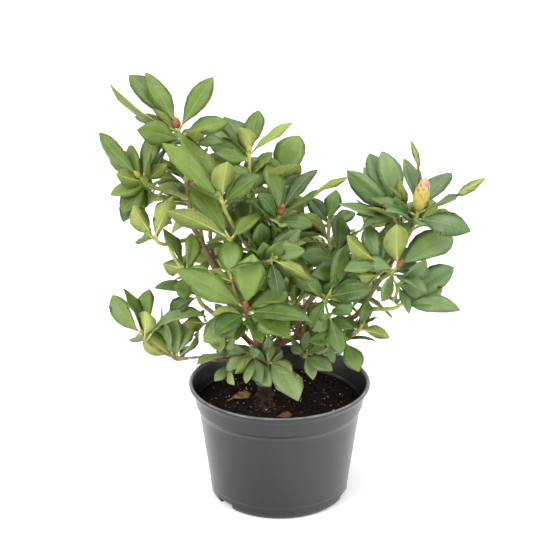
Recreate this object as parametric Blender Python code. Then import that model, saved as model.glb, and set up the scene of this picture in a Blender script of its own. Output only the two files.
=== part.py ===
"""A potted rhododendron: a small evergreen shrub in a round plastic nursery pot.

Metres, +Z up, the front towards -Y. The origin is on the ground under the middle of the pot.
The plant grows by rule: the trunk forks into boughs, each mass of foliage has one stem whose twigs
end in shoots, and each shoot carries a whorl of leaves. A limb, twig or leaf that would touch
what is already there is turned a little, and in the end left out.
"""
import math
import random

import bmesh
import bpy
import numpy as np
from mathutils import Vector
from mathutils.bvhtree import BVHTree

# Clear space kept between two pieces.
GAP = 0.0003

# The pot
POT_HEIGHT = 0.153
RIM_RADIUS = 0.115
FOOT_RADIUS = 0.0845
WALL_FOOT = (0.0878, 0.0045)
WALL_TOP = (0.1045, 0.1255)
WALL_INNER_FOOT = (0.0850, 0.0095)
WALL_INNER_TOP = (0.1027, 0.1240)
RECESS = 0.0070
PAD_RADIUS = 0.030
POT_SIDES = 40
NOTCH_AT = (217, 337, 97)
NOTCH_WIDTH = 17
NOTCH_HEIGHT = 0.0064

# The soil: its height at the wall, in the bed and round the trunk, and a lump of old roots
SOIL_EDGE = 0.1225
SOIL_BED = 0.1262
SOIL_CROWN = 0.1300
LUMP_AT = (-0.018, -0.030)
LUMP_HEIGHT = 0.008
LUMP_SPREAD = 0.011
SOIL_SIDES = 28
SOIL_RINGS = (0.0145, 0.022, 0.032, 0.046, 0.064, 0.086)

# The trunk from its flat foot on the soil to its fork: a point on its axis and its radius there
TRUNK = (
    ((-0.0190, 0.004, SOIL_CROWN + GAP), 0.0130),
    ((-0.0192, 0.004, 0.1345), 0.0092),
    ((-0.0198, 0.003, 0.1500), 0.0074),
    ((-0.0205, 0.001, 0.1700), 0.0066),
    ((-0.0220, 0.000, 0.1910), 0.0056),
)

# A bough: what it grows from, how far along that, its way points with the tip last,
# and its radius at the foot and at the tip
BOUGHS = {
    "bough_left": ("trunk", 1.0, ((-0.059, 0.002, 0.262), (-0.083, 0.004, 0.309), (-0.100, 0.004, 0.345)),
                   0.0046, 0.0034),
    "bough_left_top": ("bough_left", 1.0, ((-0.110, 0.003, 0.385), (-0.113, 0.003, 0.418)), 0.0032, 0.0025),
    "bough_left_low": ("trunk", 0.93,
                       ((-0.050, -0.016, 0.226), (-0.074, -0.022, 0.246), (-0.094, -0.028, 0.266)),
                       0.0034, 0.0026),
    "bough_rim": ("trunk", 0.78, ((-0.048, -0.020, 0.190), (-0.075, -0.030, 0.193), (-0.098, -0.037, 0.200)),
                  0.0030, 0.0022),
    "bough_middle": ("trunk", 0.97, ((-0.026, 0.000, 0.250), (-0.033, -0.004, 0.300), (-0.037, 0.000, 0.335)),
                     0.0042, 0.0030),
    "bough_back": ("trunk", 0.90, ((-0.020, 0.045, 0.228), (-0.022, 0.075, 0.268)), 0.0038, 0.0028),
    "bough_back_left": ("bough_left", 0.55, ((-0.083, 0.045, 0.300), (-0.088, 0.062, 0.325)), 0.0030, 0.0024),
    "bough_right": ("trunk", 0.96, ((0.012, -0.008, 0.212), (0.050, -0.016, 0.226), (0.081, -0.020, 0.243)),
                    0.0042, 0.0034),
    "bough_right_top": ("bough_right", 1.0, ((0.113, -0.022, 0.280), (0.140, -0.014, 0.322)), 0.0032, 0.0025),
    "bough_right_inner": ("bough_right", 0.35, ((0.034, 0.010, 0.250), (0.052, 0.010, 0.280)),
                          0.0030, 0.0024),
    "bough_back_right": ("trunk", 0.85, ((0.010, 0.045, 0.205), (0.045, 0.085, 0.232)), 0.0034, 0.0026),
    "bough_front": ("trunk", 0.88, ((-0.026, -0.030, 0.208), (-0.034, -0.052, 0.243)), 0.0034, 0.0024),
}

# A mass of foliage: the limb that its stem meets, how far along, and the shoots that it ends in
MASSES = {
    "leaves_crest": ("bough_left_top", 1.0, ("crest",)),
    "leaves_shoulder": ("bough_left_top", 0.75, ("shoulder",)),
    "leaves_arm": ("bough_left", 0.96, ("arm", "arm_low")),
    "leaves_upper_left": ("bough_middle", 0.88, ("yellow", "yellow_low")),
    "leaves_top": ("bough_middle", 1.0, ("top", "top_back")),
    "leaves_middle": ("bough_middle", 0.94, ("middle", "middle_back")),
    "leaves_heart": ("bough_middle", 0.72, ("heart", "heart_right", "heart_front")),
    "leaves_face": ("bough_front", 1.0, ("face", "face_top")),
    "leaves_foot": ("trunk", 0.38, ("foot_front", "foot_left")),
    "leaves_core": ("bough_middle", 0.55, ("core", "core_left")),
    "leaves_foot_right": ("bough_right", 0.30, ("foot_right",)),
    "leaves_right_low": ("bough_right", 0.85, ("hanging", "hanging_right")),
    "leaves_waist": ("bough_right_inner", 0.80, ("waist",)),
    "leaves_right_inner": ("bough_right_inner", 1.0, ("inner", "inner_top")),
    "leaves_right_crown": ("bough_right_top", 1.0, ("right_crown", "right_crown_left")),
    "leaves_right_front": ("bough_right_top", 0.80, ("right_front", "right_front_left")),
    "leaves_right_tip": ("bough_right_top", 0.40, ("right_tip",)),
    "leaves_low_left": ("bough_rim", 1.0, ("low_left", "low_left_tip")),
    "leaves_rim": ("bough_rim", 0.40, ("rim",)),
    "leaves_left_low": ("bough_left_low", 1.0, ("left_low",)),
    "leaves_rear_left": ("bough_back_left", 1.0, ("rear_left", "rear_arm")),
    "leaves_rear_crest": ("bough_left", 0.90, ("rear_crest",)),
    "leaves_rear_top": ("bough_back", 1.0, ("rear_top", "rear_high")),
    "leaves_rear_mid": ("bough_back", 0.80, ("rear_mid",)),
    "leaves_rear_low_left": ("bough_back", 0.60, ("rear_low_left",)),
    "leaves_rear_right": ("bough_back_right", 1.0, ("rear_right", "rear_inner")),
    "leaves_rear_low": ("bough_back_right", 0.75, ("rear_low", "rear_low_right")),
}

# A shoot: its tip, then each leaf that the front view shows, as the clock hour it points to,
# its length in mm, and how it is seen: b a leaf behind, from its upper side; d one in front that
# droops; s one seen on edge; u one folded up so that its pale underside shows; a capital letter
# is a broad leaf.
# A shoot with no such leaves is at the back and carries a plain whorl.
SHOOTS = {
    "crest": ((-0.122, 0.000, 0.484),
        "10.74/86b 11.02/80b 1.02/77b 10.24/98s 9.76/61b 2.35/62b 10.77/49u 2.61/25u 9.39/53d 8.52/27u"),
    "shoulder": ((-0.166, -0.030, 0.431),
        "10.57/77b 11.13/47b 0.51/65b 1.03/52b 1.78/34u 9.52/36u 7.31/46D 6.07/28d 8.5/48d"),
    "arm": ((-0.151, -0.060, 0.366), "10.96/44U 0.85/55u"),
    "arm_low": ((-0.112, -0.055, 0.320), "0.3/49b 11.11/59s 3.2/36d"),
    "yellow": ((-0.069, -0.050, 0.410), "0.33/45U 10.53/97u 10.97/100b 1.8/56u 1.2/50b"),
    "yellow_low": ((-0.060, -0.060, 0.365), "9.79/82u 10.8/84b 1.6/50b"),
    "top": ((-0.037, 0.020, 0.447), "0.39/57b 1.78/68s 11.44/37U 11.09/63B 9.81/56b 9.4/44d"),
    "top_back": ((-0.054, 0.060, 0.410), "11.2/70b 0.5/64b 10.0/50b"),
    "middle": ((0.000, -0.020, 0.381), "11.55/67b 1.27/78b 2.01/98s 0.13/41b 10.8/40d 3.2/44d"),
    "middle_back": ((-0.003, 0.040, 0.395), "0.73/76B 1.4/43u 11.52/46u"),
    "heart": ((-0.036, -0.030, 0.351), "0.25/68s 11.6/55b 9.7/48d 1.6/44b"),
    "heart_right": ((-0.018, -0.050, 0.345), "2.6/53s 3.0/50d 11.8/45b"),
    "heart_front": ((-0.009, -0.070, 0.342), "3.9/60u 8.6/50d 5.6/46d"),
    "face": ((-0.040, -0.090, 0.288),
        "0.25/66B 9.98/96d 2.25/56b 3.2/80d 3.99/61D 7.92/44D 7.96/62D 9.19/43u"),
    "face_top": ((-0.057, -0.075, 0.318), "11.92/52B 9.65/38u 1.8/46b"),
    "foot_left": ((-0.031, -0.050, 0.210), "7.57/33u 5.49/34D 6.67/34d"),
    "foot_front": ((-0.014, -0.058, 0.206), "4.74/61D 3.86/33D"),
    "foot_right": ((0.032, -0.050, 0.209), "9.99/21B 5.36/31d 3.96/38d 2.22/37s"),
    "hanging": ((0.080, -0.040, 0.225), "5.2/43d 2.99/42s 1.2/34b 8.9/42d"),
    "hanging_right": ((0.099, -0.050, 0.246), "0.5/36b 3.5/38u 9.5/46b 1.88/32s"),
    "waist": ((0.059, -0.060, 0.292), "0.7/66b 2.05/45b 2.66/54d 3.58/18u 10.3/56b 11.4/40b 7.02/39d"),
    "inner": ((0.072, 0.000, 0.319), "0.1/56b 9.7/44b 9.2/46d 1.4/42b"),
    "inner_top": ((0.062, 0.040, 0.349), "0.4/46b 10.8/44b 2.0/40b"),
    "right_crown": ((0.168, -0.010, 0.385),
        "11.8/86s 11.55/68b 1.35/74b 1.96/91s 9.73/64b 4.41/18d 3.52/66d 7.6/46d"),
    "right_crown_left": ((0.148, 0.020, 0.372),
        "11.51/82b 11.24/86B 10.29/87s 9.07/54s 8.44/56d 11.98/54u 10.95/84b 7.91/24d"),
    "right_front": ((0.142, -0.050, 0.325), "11.89/53U 2.06/83B 3.06/42s 9.6/44b"),
    "right_front_left": ((0.119, -0.040, 0.326), "10.28/54u 11.54/52b 8.8/46d"),
    "right_tip": ((0.150, -0.060, 0.283), "1.87/78b 2.3/56b 3.14/70d 1/34b"),
    "low_left": ((-0.133, -0.040, 0.202), "10.42/49U 11.47/68b 0.75/57b 1.21/50s 11.73/57b"),
    "low_left_tip": ((-0.168, -0.050, 0.236), "10.74/64b 11.16/65s 0.17/34U 0.13/63b 2.31/81s"),
    "left_low": ((-0.102, -0.030, 0.287), "9.16/53s 9.51/28D 11.2/44b 2.0/40b 7.97/42b"),
    "rim": ((-0.060, -0.044, 0.206), "8.65/43d 10.4/40b"),
    "core": ((-0.004, 0.030, 0.330), ""),
    "core_left": ((-0.066, 0.030, 0.330), ""),
    "rear_left": ((-0.083, 0.100, 0.340), ""),
    "rear_arm": ((-0.118, 0.075, 0.372), ""),
    "rear_crest": ((-0.110, 0.060, 0.400), ""),
    "rear_top": ((-0.038, 0.120, 0.374), ""),
    "rear_high": ((-0.023, 0.150, 0.330), ""),
    "rear_mid": ((0.007, 0.120, 0.298), ""),
    "rear_low_left": ((-0.072, 0.120, 0.260), ""),
    "rear_right": ((0.120, 0.100, 0.305), ""),
    "rear_inner": ((0.066, 0.120, 0.278), ""),
    "rear_low": ((0.018, 0.140, 0.214), ""),
    "rear_low_right": ((0.094, 0.120, 0.231), ""),
}

# The buds that show from a step away: length and radius
BUDS = {
    "right_crown": (0.041, 0.0100),
    "crest": (0.013, 0.0054),
    "middle": (0.015, 0.0050),
    "right_front": (0.013, 0.0048),
    "face": (0.012, 0.0045),
    "shoulder": (0.011, 0.0040),
    "top": (0.011, 0.0040),
}

# The clock face that the hours are read on is tipped as the front view looks down
DIP = math.radians(20.8)
ACROSS = Vector((1, 0, 0))
RISE = Vector((0, math.sin(DIP), math.cos(DIP)))
NEAR = Vector((0, -math.cos(DIP), math.sin(DIP)))

# Degrees by which a leaf of each kind comes forward of the clock face, and is rolled from facing us
FORWARD = {"b": -15, "s": 6, "d": 28, "u": 24}
ROLL = {"b": 28, "s": 66, "d": 30, "u": 150}

RINGS = 10                    # along a bough
TWIG_RINGS = 5                # along a twig
MM = 0.00098                  # metres of leaf for a millimetre read off the front view
LEAF_SPACING = 0.0021         # from one leaf's root down to the next on a shoot
HALF_WIDTH = 0.20             # of a long leaf, as a share of its length; a shorter one is broader
LONG_LEAF = 0.078
BROADER = 2.0                 # more share for each metre that a leaf is shorter
LEAF_STATIONS = (0.0, 0.16, 0.48, 0.80)
SHORT_STATIONS = (0.0, 0.16, 0.55)
SHORT_LEAF = 0.052            # a leaf shorter than this has the fewer stations
PETIOLE = 0.13
GOLDEN_ANGLE = math.radians(137.5)
STEM_RADII = (0.0026, 0.0019)
TWIG_RADII = (0.0022, 0.0018)

COLOURS = {
    "pot_plastic": ((0.075, 0.078, 0.080), 0.42),
    "soil": ((0.022, 0.014, 0.010), 0.95),
    "bark": ((0.150, 0.085, 0.055), 0.80),
    "foliage": ((0.090, 0.210, 0.060), 0.45),
}


def material(name):
    """The named finish, made once."""
    found = bpy.data.materials.get(name)
    if found:
        return found
    colour, roughness = COLOURS[name]
    made = bpy.data.materials.new(name)
    made.use_nodes = True
    shader = made.node_tree.nodes["Principled BSDF"]
    shader.inputs["Base Color"].default_value = (*colour, 1.0)
    shader.inputs["Roughness"].default_value = roughness
    shader.inputs["Metallic"].default_value = 0.0
    made.diffuse_color = (*colour, 1.0)
    return made


def mesh_of(name, shape):
    """A mesh from vertices and faces, with its faces turned outwards."""
    verts, faces = shape
    mesh = bpy.data.meshes.new(name)
    mesh.from_pydata([tuple(v) for v in verts], [], faces)
    work = bmesh.new()
    work.from_mesh(mesh)
    bmesh.ops.recalc_face_normals(work, faces=work.faces)
    work.to_mesh(mesh)
    work.free()
    return mesh


def piece(name, shape, finish):
    """A named object of the part."""
    obj = bpy.data.objects.new(name, mesh_of(name, shape))
    bpy.context.scene.collection.objects.link(obj)
    obj.data.materials.append(material(finish))
    return obj


def helper(name, shape, group):
    """An object that only shapes another, in a collection of its own."""
    obj = bpy.data.objects.new(name, mesh_of(name, shape))
    group.objects.link(obj)
    obj.hide_render = True
    obj.display_type = "WIRE"
    return obj


def new_group(name):
    """A collection for helpers."""
    group = bpy.data.collections.new(name)
    bpy.context.scene.collection.children.link(group)
    return group


def apply_boolean(obj, group, operation):
    """Joins or cuts the object with all of the group, then removes the group."""
    step = obj.modifiers.new("join", "BOOLEAN")
    step.operation = operation
    step.operand_type = "COLLECTION"
    step.collection = group
    step.solver = "EXACT"
    graph = bpy.context.evaluated_depsgraph_get()
    result = bpy.data.meshes.new_from_object(obj.evaluated_get(graph))
    finish = obj.data.materials[0]
    obj.modifiers.clear()
    obj.data = result
    obj.data.materials.clear()
    obj.data.materials.append(finish)
    for tool in list(group.objects):
        bpy.data.objects.remove(tool)
    bpy.data.collections.remove(group)


def keep_largest(obj):
    """Keeps the outer skin of the fused body; scraps and sealed hollows go."""
    work = bmesh.new()
    work.from_mesh(obj.data)
    bmesh.ops.remove_doubles(work, verts=work.verts, dist=1e-6)
    bmesh.ops.triangulate(work, faces=work.faces)
    bmesh.ops.dissolve_degenerate(work, edges=work.edges, dist=2e-6)
    bmesh.ops.triangulate(work, faces=work.faces)
    left = set(work.faces)
    islands = []
    while left:
        seed = left.pop()
        island, reached = [seed], [seed]
        while reached:
            for edge in reached.pop().edges:
                for face in edge.link_faces:
                    if face in left:
                        left.discard(face)
                        island.append(face)
                        reached.append(face)
        islands.append(island)
    islands.sort(key=len)
    scrap = [face for island in islands[:-1] for face in island]
    if scrap:
        bmesh.ops.delete(work, geom=scrap, context="FACES")
    work.to_mesh(obj.data)
    work.free()
    return len(islands) - 1


# The pot and its soil

def turned(profile, sides):
    """A closed profile of (radius, height) turned round the pot's axis; a radius of 0 is one point."""
    verts, faces, rows = [], [], []
    for radius, height in profile:
        if radius == 0:
            rows.append([len(verts)] * sides)
            verts.append((0.0, 0.0, height))
            continue
        rows.append(list(range(len(verts), len(verts) + sides)))
        for k in range(sides):
            turn = 2 * math.pi * k / sides
            verts.append((radius * math.cos(turn), radius * math.sin(turn), height))
    for low, high in zip(rows, rows[1:]):
        for k in range(sides):
            j = (k + 1) % sides
            corners = [low[k], low[j], high[j], high[k]]
            faces.append(tuple(dict.fromkeys(corners)))
    return verts, faces


def pot_profile():
    """From the middle of the underside, out over the foot and the rim, and down to the floor inside."""
    rim, top = RIM_RADIUS, POT_HEIGHT
    return (
        (0.0, 0.0), (PAD_RADIUS, 0.0), (PAD_RADIUS + 0.002, RECESS), (FOOT_RADIUS - 0.0045, RECESS),
        (FOOT_RADIUS - 0.003, 0.0), (FOOT_RADIUS, 0.0), WALL_FOOT,
        (0.0889, 0.0172), (0.0898, 0.0186), WALL_TOP,
        (WALL_TOP[0] + 0.0017, 0.1272), (rim - 0.0045, top - 0.0052), (rim - 0.0006, top - 0.0040),
        (rim, top - 0.0024), (rim - 0.0008, top - 0.0005), (rim - 0.0020, top), (rim - 0.0034, top - 0.0006),
        (rim - 0.0062, top - 0.0040), (WALL_INNER_TOP[0] + 0.0018, 0.1275), WALL_INNER_TOP, WALL_INNER_FOOT,
        (0.0, WALL_INNER_FOOT[1]),
    )


def notch_shape(degrees):
    """A block that opens the pot's foot to the side."""
    verts = []
    for height in (-0.003, NOTCH_HEIGHT):
        for radius in (FOOT_RADIUS - 0.008, FOOT_RADIUS + 0.012):
            for side in (-0.5, 0.5):
                turn = math.radians(degrees + side * NOTCH_WIDTH)
                verts.append((radius * math.cos(turn), radius * math.sin(turn), height))
    faces = [(0, 1, 3, 2), (4, 6, 7, 5), (0, 4, 5, 1), (1, 5, 7, 3), (3, 7, 6, 2), (2, 6, 4, 0)]
    return verts, faces


def build_pot():
    """The thin-walled pot with its rolled rim, collar, foot ring and drain notches."""
    pot = piece("pot", turned(pot_profile(), POT_SIDES), "pot_plastic")
    group = new_group("notches")
    for degrees in NOTCH_AT:
        helper("notch", notch_shape(degrees), group)
    apply_boolean(pot, group, "DIFFERENCE")
    keep_largest(pot)
    return pot


def smooth_step(value, low, high):
    """0 below low, 1 above high, and an even ramp with soft ends between."""
    t = min(max((value - low) / (high - low), 0.0), 1.0)
    return t * t * (3 - 2 * t)


def soil_height(x, y):
    """Level round the trunk, a lump of roots in front of it, shallow waves, lower at the wall."""
    away = math.hypot(x - TRUNK[0][0][0], y - TRUNK[0][0][1])
    radius = math.hypot(x, y)
    bed = SOIL_BED + (SOIL_CROWN - SOIL_BED) * (1 - smooth_step(away, 0.0145, 0.045))
    bed += 0.0010 * math.sin(90 * x + 1.0) * math.sin(110 * y) + 0.0006 * math.sin(210 * x - 160 * y)
    lump = math.hypot(x - LUMP_AT[0], y - LUMP_AT[1]) / LUMP_SPREAD
    bed += LUMP_HEIGHT * math.exp(-0.5 * lump * lump)
    bed = SOIL_CROWN + (bed - SOIL_CROWN) * smooth_step(away, 0.0145, 0.020)
    return bed + (SOIL_EDGE - bed) * smooth_step(radius, 0.082, 0.101)


def build_soil():
    """A plug that fills the pot from its floor, in rings round the trunk's foot."""
    slope = (WALL_INNER_TOP[0] - WALL_INNER_FOOT[0]) / (WALL_INNER_TOP[1] - WALL_INNER_FOOT[1])
    edge_radius = WALL_INNER_TOP[0] - slope * (WALL_INNER_TOP[1] - SOIL_EDGE) - GAP * 1.2
    foot_radius = WALL_INNER_FOOT[0] - GAP * 1.2
    centre = TRUNK[0][0]
    verts = [(centre[0], centre[1], SOIL_CROWN)]
    faces = []
    for ring in SOIL_RINGS + (None, -1):
        for k in range(SOIL_SIDES):
            turn = 2 * math.pi * (k + 0.5) / SOIL_SIDES
            cos, sin = math.cos(turn), math.sin(turn)
            if ring is None:
                verts.append((edge_radius * cos, edge_radius * sin, SOIL_EDGE))
            elif ring == -1:
                verts.append((foot_radius * cos, foot_radius * sin, WALL_INNER_FOOT[1] + GAP * 1.2))
            else:
                share = ring / edge_radius
                x = centre[0] * (1 - share) + ring * cos
                y = centre[1] * (1 - share) + ring * sin
                verts.append((x, y, soil_height(x, y)))
    rows = len(SOIL_RINGS) + 2
    for k in range(SOIL_SIDES):
        j = (k + 1) % SOIL_SIDES
        faces.append((0, 1 + k, 1 + j))
        for row in range(rows - 1):
            low, high = 1 + row * SOIL_SIDES, 1 + (row + 1) * SOIL_SIDES
            faces.append((low + k, high + k, high + j, low + j))
    faces.append(tuple(range(1 + (rows - 1) * SOIL_SIDES, 1 + rows * SOIL_SIDES)))
    return piece("soil", (verts, faces), "soil")


# Curves and tubes

def curve(points, count):
    """A smooth line through the points, by Catmull and Rom's rule."""
    given = [Vector(p) for p in points]
    given = [2 * given[0] - given[1]] + given + [2 * given[-1] - given[-2]]
    spans = len(given) - 3
    line = []
    for k in range(count):
        place = k / (count - 1) * spans
        i = min(int(place), spans - 1)
        t = place - i
        a, b, c, d = given[i:i + 4]
        line.append(0.5 * (2 * b + (c - a) * t + (2 * a - 5 * b + 4 * c - d) * t * t
                           + (3 * b - a - 3 * c + d) * t ** 3))
    return line


def arc_to(start, ahead, tip, axis, wander, count):
    """A line that leaves the start towards `ahead` and reaches the tip along `axis`."""
    span = (tip - start).length * 0.33
    p1, p2 = start + ahead * span, tip - axis * span + wander
    line = []
    for k in range(count):
        t = k / (count - 1)
        s = 1 - t
        line.append(s ** 3 * start + 3 * s * s * t * p1 + 3 * s * t * t * p2 + t ** 3 * tip)
    return line


def point_on(line, share):
    """The point at a share of the way along a line."""
    place = min(max(share, 0.0), 1.0) * (len(line) - 1)
    i = min(int(place), len(line) - 2)
    return line[i].lerp(line[i + 1], place - i)


def back_along(line, distance):
    """The point a distance back from the line's tip."""
    for near, far in zip(reversed(line), reversed(line[:-1])):
        step = (far - near).length
        if distance <= step:
            return near.lerp(far, distance / step)
        distance -= step
    return line[0]


def heading(line, share):
    """The direction of a line there."""
    return (point_on(line, min(share + 0.1, 1.0)) - point_on(line, share - 0.1)).normalized()


def even(first, last, count):
    """Values at equal steps."""
    return [first + (last - first) * k / (count - 1) for k in range(count)]


def tube(limb, grow=0.0):
    """A tapering limb: rings of points round its line, flat at both ends."""
    line, radii, sides, first = limb
    verts, faces = [], []
    side = Vector((0.31, 0.87, 0.38))
    for i, centre in enumerate(line):
        ahead = (line[min(i + 1, len(line) - 1)] - line[max(i - 1, 0)]).normalized()
        if i == 0 and first:
            ahead = first
        side = (side - side.dot(ahead) * ahead).normalized()
        up = ahead.cross(side)
        for k in range(sides):
            turn = 2 * math.pi * k / sides
            verts.append(centre + (radii[i] + grow) * (math.cos(turn) * side + math.sin(turn) * up))
    for i in range(len(line) - 1):
        for k in range(sides):
            j = (k + 1) % sides
            low, high = i * sides, (i + 1) * sides
            faces.append((low + k, low + j, high + j, high + k))
    faces.append(tuple(reversed(range(sides))))
    faces.append(tuple(range((len(line) - 1) * sides, len(line) * sides)))
    return verts, faces


# Leaves and buds

def leaf_shape(leaf, grow=0.0, start=0.0):
    """A leaf from its root to its tip: rings of two margins and a keel along an arched midrib."""
    bend, length = leaf["bend"], leaf["length"]
    across = leaf["face"].cross(leaf["chord"])
    scale = length * (bend / 2) / math.sin(bend / 2)

    def spine(t):
        along = (math.sin(bend / 2) - math.sin(bend * (0.5 - t))) / bend
        lift = (math.cos(bend * (0.5 - t)) - math.cos(bend / 2)) / bend
        return leaf["root"] + scale * (along * leaf["chord"] + lift * leaf["face"])

    verts, faces = [], []
    stations = LEAF_STATIONS if length > SHORT_LEAF else SHORT_STATIONS
    stations = [t for t in stations if t >= start]
    for t in stations:
        turn = bend * (0.5 - t)
        up = math.cos(turn) * leaf["face"] - math.sin(turn) * leaf["chord"]
        blade = max(0.0, (t - PETIOLE) / (1 - PETIOLE))
        wide = max(leaf["half"] * math.sin(math.pi * blade ** 0.95) ** 0.75, 0.0011) + grow
        thick = 0.011 * length + grow
        middle = spine(t)
        rise, flat = wide * math.sin(leaf["fold"]) + grow, wide * math.cos(leaf["fold"])
        verts += [middle - flat * across + rise * up, middle + flat * across + rise * up, middle - thick * up]
    for i in range(len(stations) - 1):
        for k in range(3):
            j = (k + 1) % 3
            faces.append((3 * i + k, 3 * i + j, 3 * i + 3 + j, 3 * i + 3 + k))
    last = 3 * (len(stations) - 1)
    faces.append((2, 1, 0))
    faces += [(last + k, last + (k + 1) % 3, last + 3) for k in range(3)]
    verts.append(spine(1.0 + grow / length))
    return verts, faces


def bud_limb(tip, axis, length, radius):
    """A bud as a short limb: widest at a third of its length, drawn in to a blunt point."""
    shares = ((-0.05, 0.50), (0.34, 1.0), (0.72, 0.66), (1.0, 0.14))
    line = [tip + axis * length * share for share, wide in shares]
    return line, [radius * wide for share, wide in shares], 5, None


# Clear space

class Space:
    """What has been placed, so that the next limb, twig or leaf can be kept clear of it."""

    def __init__(self):
        self.rows = []

    @staticmethod
    def measured(shape):
        """A search tree of the shape and the corners of its box."""
        points = [tuple(v) for v in shape[0]]
        cloud = np.array(points)
        return BVHTree.FromPolygons(points, shape[1]), cloud.min(axis=0), cloud.max(axis=0)

    def add(self, owner, kind, shape):
        self.rows.append((owner, kind) + self.measured(shape))

    def touched(self, shape, own=None, leave_out=()):
        """What the shape touches, apart from the named kinds of its own mass."""
        tree, low, high = self.measured(shape)
        found = []
        for owner, kind, other, other_low, other_high in self.rows:
            if owner == own and kind in leave_out:
                continue
            if (other_low <= high).all() and (other_high >= low).all() and tree.overlap(other):
                found.append((owner, kind))
        return found


def clear_start(limb, space):
    """Cuts back a limb that begins on another's axis until it is clear of all that is there."""
    line, radii, sides, first = limb
    for step in range(300):
        cut = step / 500
        shorter = [point_on(line, cut + (1 - cut) * k / (len(line) - 1)) for k in range(len(line))]
        ahead = (shorter[1] - shorter[0]).normalized()
        tested = [shorter[0] - ahead * GAP] + shorter[1:]
        if not space.touched(tube((tested, radii, sides, first), GAP)):
            return shorter, radii, sides, first
    return None


# Growth

def grow_limbs(space):
    """The trunk, then each bough from its parent's tip or side."""
    line = curve([place for place, radius in TRUNK], 9)
    given = [radius for place, radius in TRUNK]
    radii = [float(np.interp(k / 2, range(len(given)), given)) for k in range(9)]
    limbs = {"trunk": (line, radii, 9, Vector((0, 0, 1)))}
    space.add("trunk", "limb", tube(limbs["trunk"]))
    for name, (parent, share, way, foot, tip) in BOUGHS.items():
        line = limbs[parent][0]
        start = point_on(line, share)
        if share < 1.0:
            limb = clear_start((curve((start,) + way, RINGS), even(foot, tip, RINGS), 6, None), space)
        else:
            ahead = (line[-1] - line[-2]).normalized()
            start = start + ahead * GAP * 1.2
            on = start + ahead * (Vector(way[0]) - start).length * 0.35
            limb = (curve((start, on) + way, RINGS), even(foot, tip, RINGS), 6, ahead)
        if limb is None or space.touched(tube(limb)):
            print("no clear way for", name)
            continue
        limbs[name] = limb
        space.add(name, "limb", tube(limb))
    return limbs


def shoot_axis(tip):
    """A shoot leans out from the middle of the crown; the farthest one has turned upright."""
    lean = 0.3 if tip[0] > 0.16 else 2.6
    return Vector((lean * (tip[0] + 0.02), lean * tip[1], 0.8)).normalized()


def route(name, start, ahead, tip, radii, head, space, rng):
    """A twig to a shoot's tip, bent a little more at each try until it is clear."""
    axis = shoot_axis(tip)
    span = (tip - start).length
    for tries in range(40):
        swing = Vector([rng.uniform(-1, 1) for axis_number in range(3)])
        line = arc_to(start, ahead, tip, axis, swing * span * 0.03 * tries ** 0.7, TWIG_RINGS)
        limb = (line, even(*radii, TWIG_RINGS), 3, head)
        if head:
            if not space.touched(tube(limb)):
                return limb
        elif not space.touched(tube(limb, GAP), name, ("twig",)):
            return limb
    return None


def grow_twigs(limbs, space):
    """Each mass's stem from its limb to the first shoot, and twigs from the stem to the others."""
    twigs = {}
    for name, (parent, share, shoots) in sorted(MASSES.items(), key=lambda row: row[1][1] < 1.0):
        rng = random.Random("twigs of " + name)
        line = limbs[parent][0]
        first_tip = Vector(SHOOTS[shoots[0]][0])
        start, ahead = point_on(line, share), heading(line, share)
        if share < 1.0:
            ahead = (ahead * 0.35 + (first_tip - start).normalized()).normalized()
            stem = None
            for tries in range(30):
                swing = Vector([rng.uniform(-1, 1) for axis_number in range(3)])
                swing *= (first_tip - start).length * 0.03 * tries ** 0.7
                way = arc_to(start, ahead, first_tip, shoot_axis(first_tip), swing, TWIG_RINGS)
                stem = clear_start((way, even(*STEM_RADII, TWIG_RINGS), 3, None), space)
                if stem:
                    break
        else:
            ahead = (line[-1] - line[-2]).normalized()
            stem = route(name, start + ahead * GAP * 1.2, ahead, first_tip, STEM_RADII, ahead, space, rng)
        if stem is None:
            print("no clear stem for", name)
            continue
        space.add(name, "twig", tube(stem))
        twigs[name] = [(shoots[0], stem)]
        for shoot in shoots[1:]:
            tip = Vector(SHOOTS[shoot][0])
            for tries in range(12):
                share_up = rng.uniform(0.2, 0.6)
                twig = route(name, point_on(stem[0], share_up), heading(stem[0], share_up), tip,
                             TWIG_RADII, None, space, rng)
                if twig:
                    break
            if twig is None:
                print("no clear twig for", shoot)
                continue
            space.add(name, "twig", tube(twig))
            twigs[name].append((shoot, twig))
    return twigs


def seen_directions(text):
    """The leaves read off the front view."""
    rows = []
    for word in text.split():
        hour, rest = word.split("/")
        rows.append((rest[-1], float(hour), float(rest[:-1]) * MM))
    return rows


def rear_directions(axis, seen, rng):
    """Behind a shoot with seen leaves, two that point away; at the back, a whole whorl."""
    rows = []
    if seen:
        mean = sum(length for kind, hour, length in seen) / len(seen)
        for hour in (-60, 45):
            turn = math.radians(hour + rng.uniform(-25, 25))
            away = math.radians(rng.uniform(48, 72))
            flat = math.sin(turn) * ACROSS + math.cos(turn) * RISE
            rows.append(("w", math.cos(away) * flat - math.sin(away) * NEAR, mean * rng.uniform(0.8, 1.15)))
        return rows
    side = axis.cross(Vector((0.3, 0.2, 1))).normalized()
    up = axis.cross(side)
    for i in range(7):
        turn = GOLDEN_ANGLE * i + rng.uniform(0, 0.6)
        lean = rng.uniform(0.70, 1.15) + 0.05 * i
        way = math.cos(lean) * axis + math.sin(lean) * (math.cos(turn) * side + math.sin(turn) * up)
        rows.append(("w", way, rng.uniform(0.054, 0.076)))
    return rows


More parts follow.
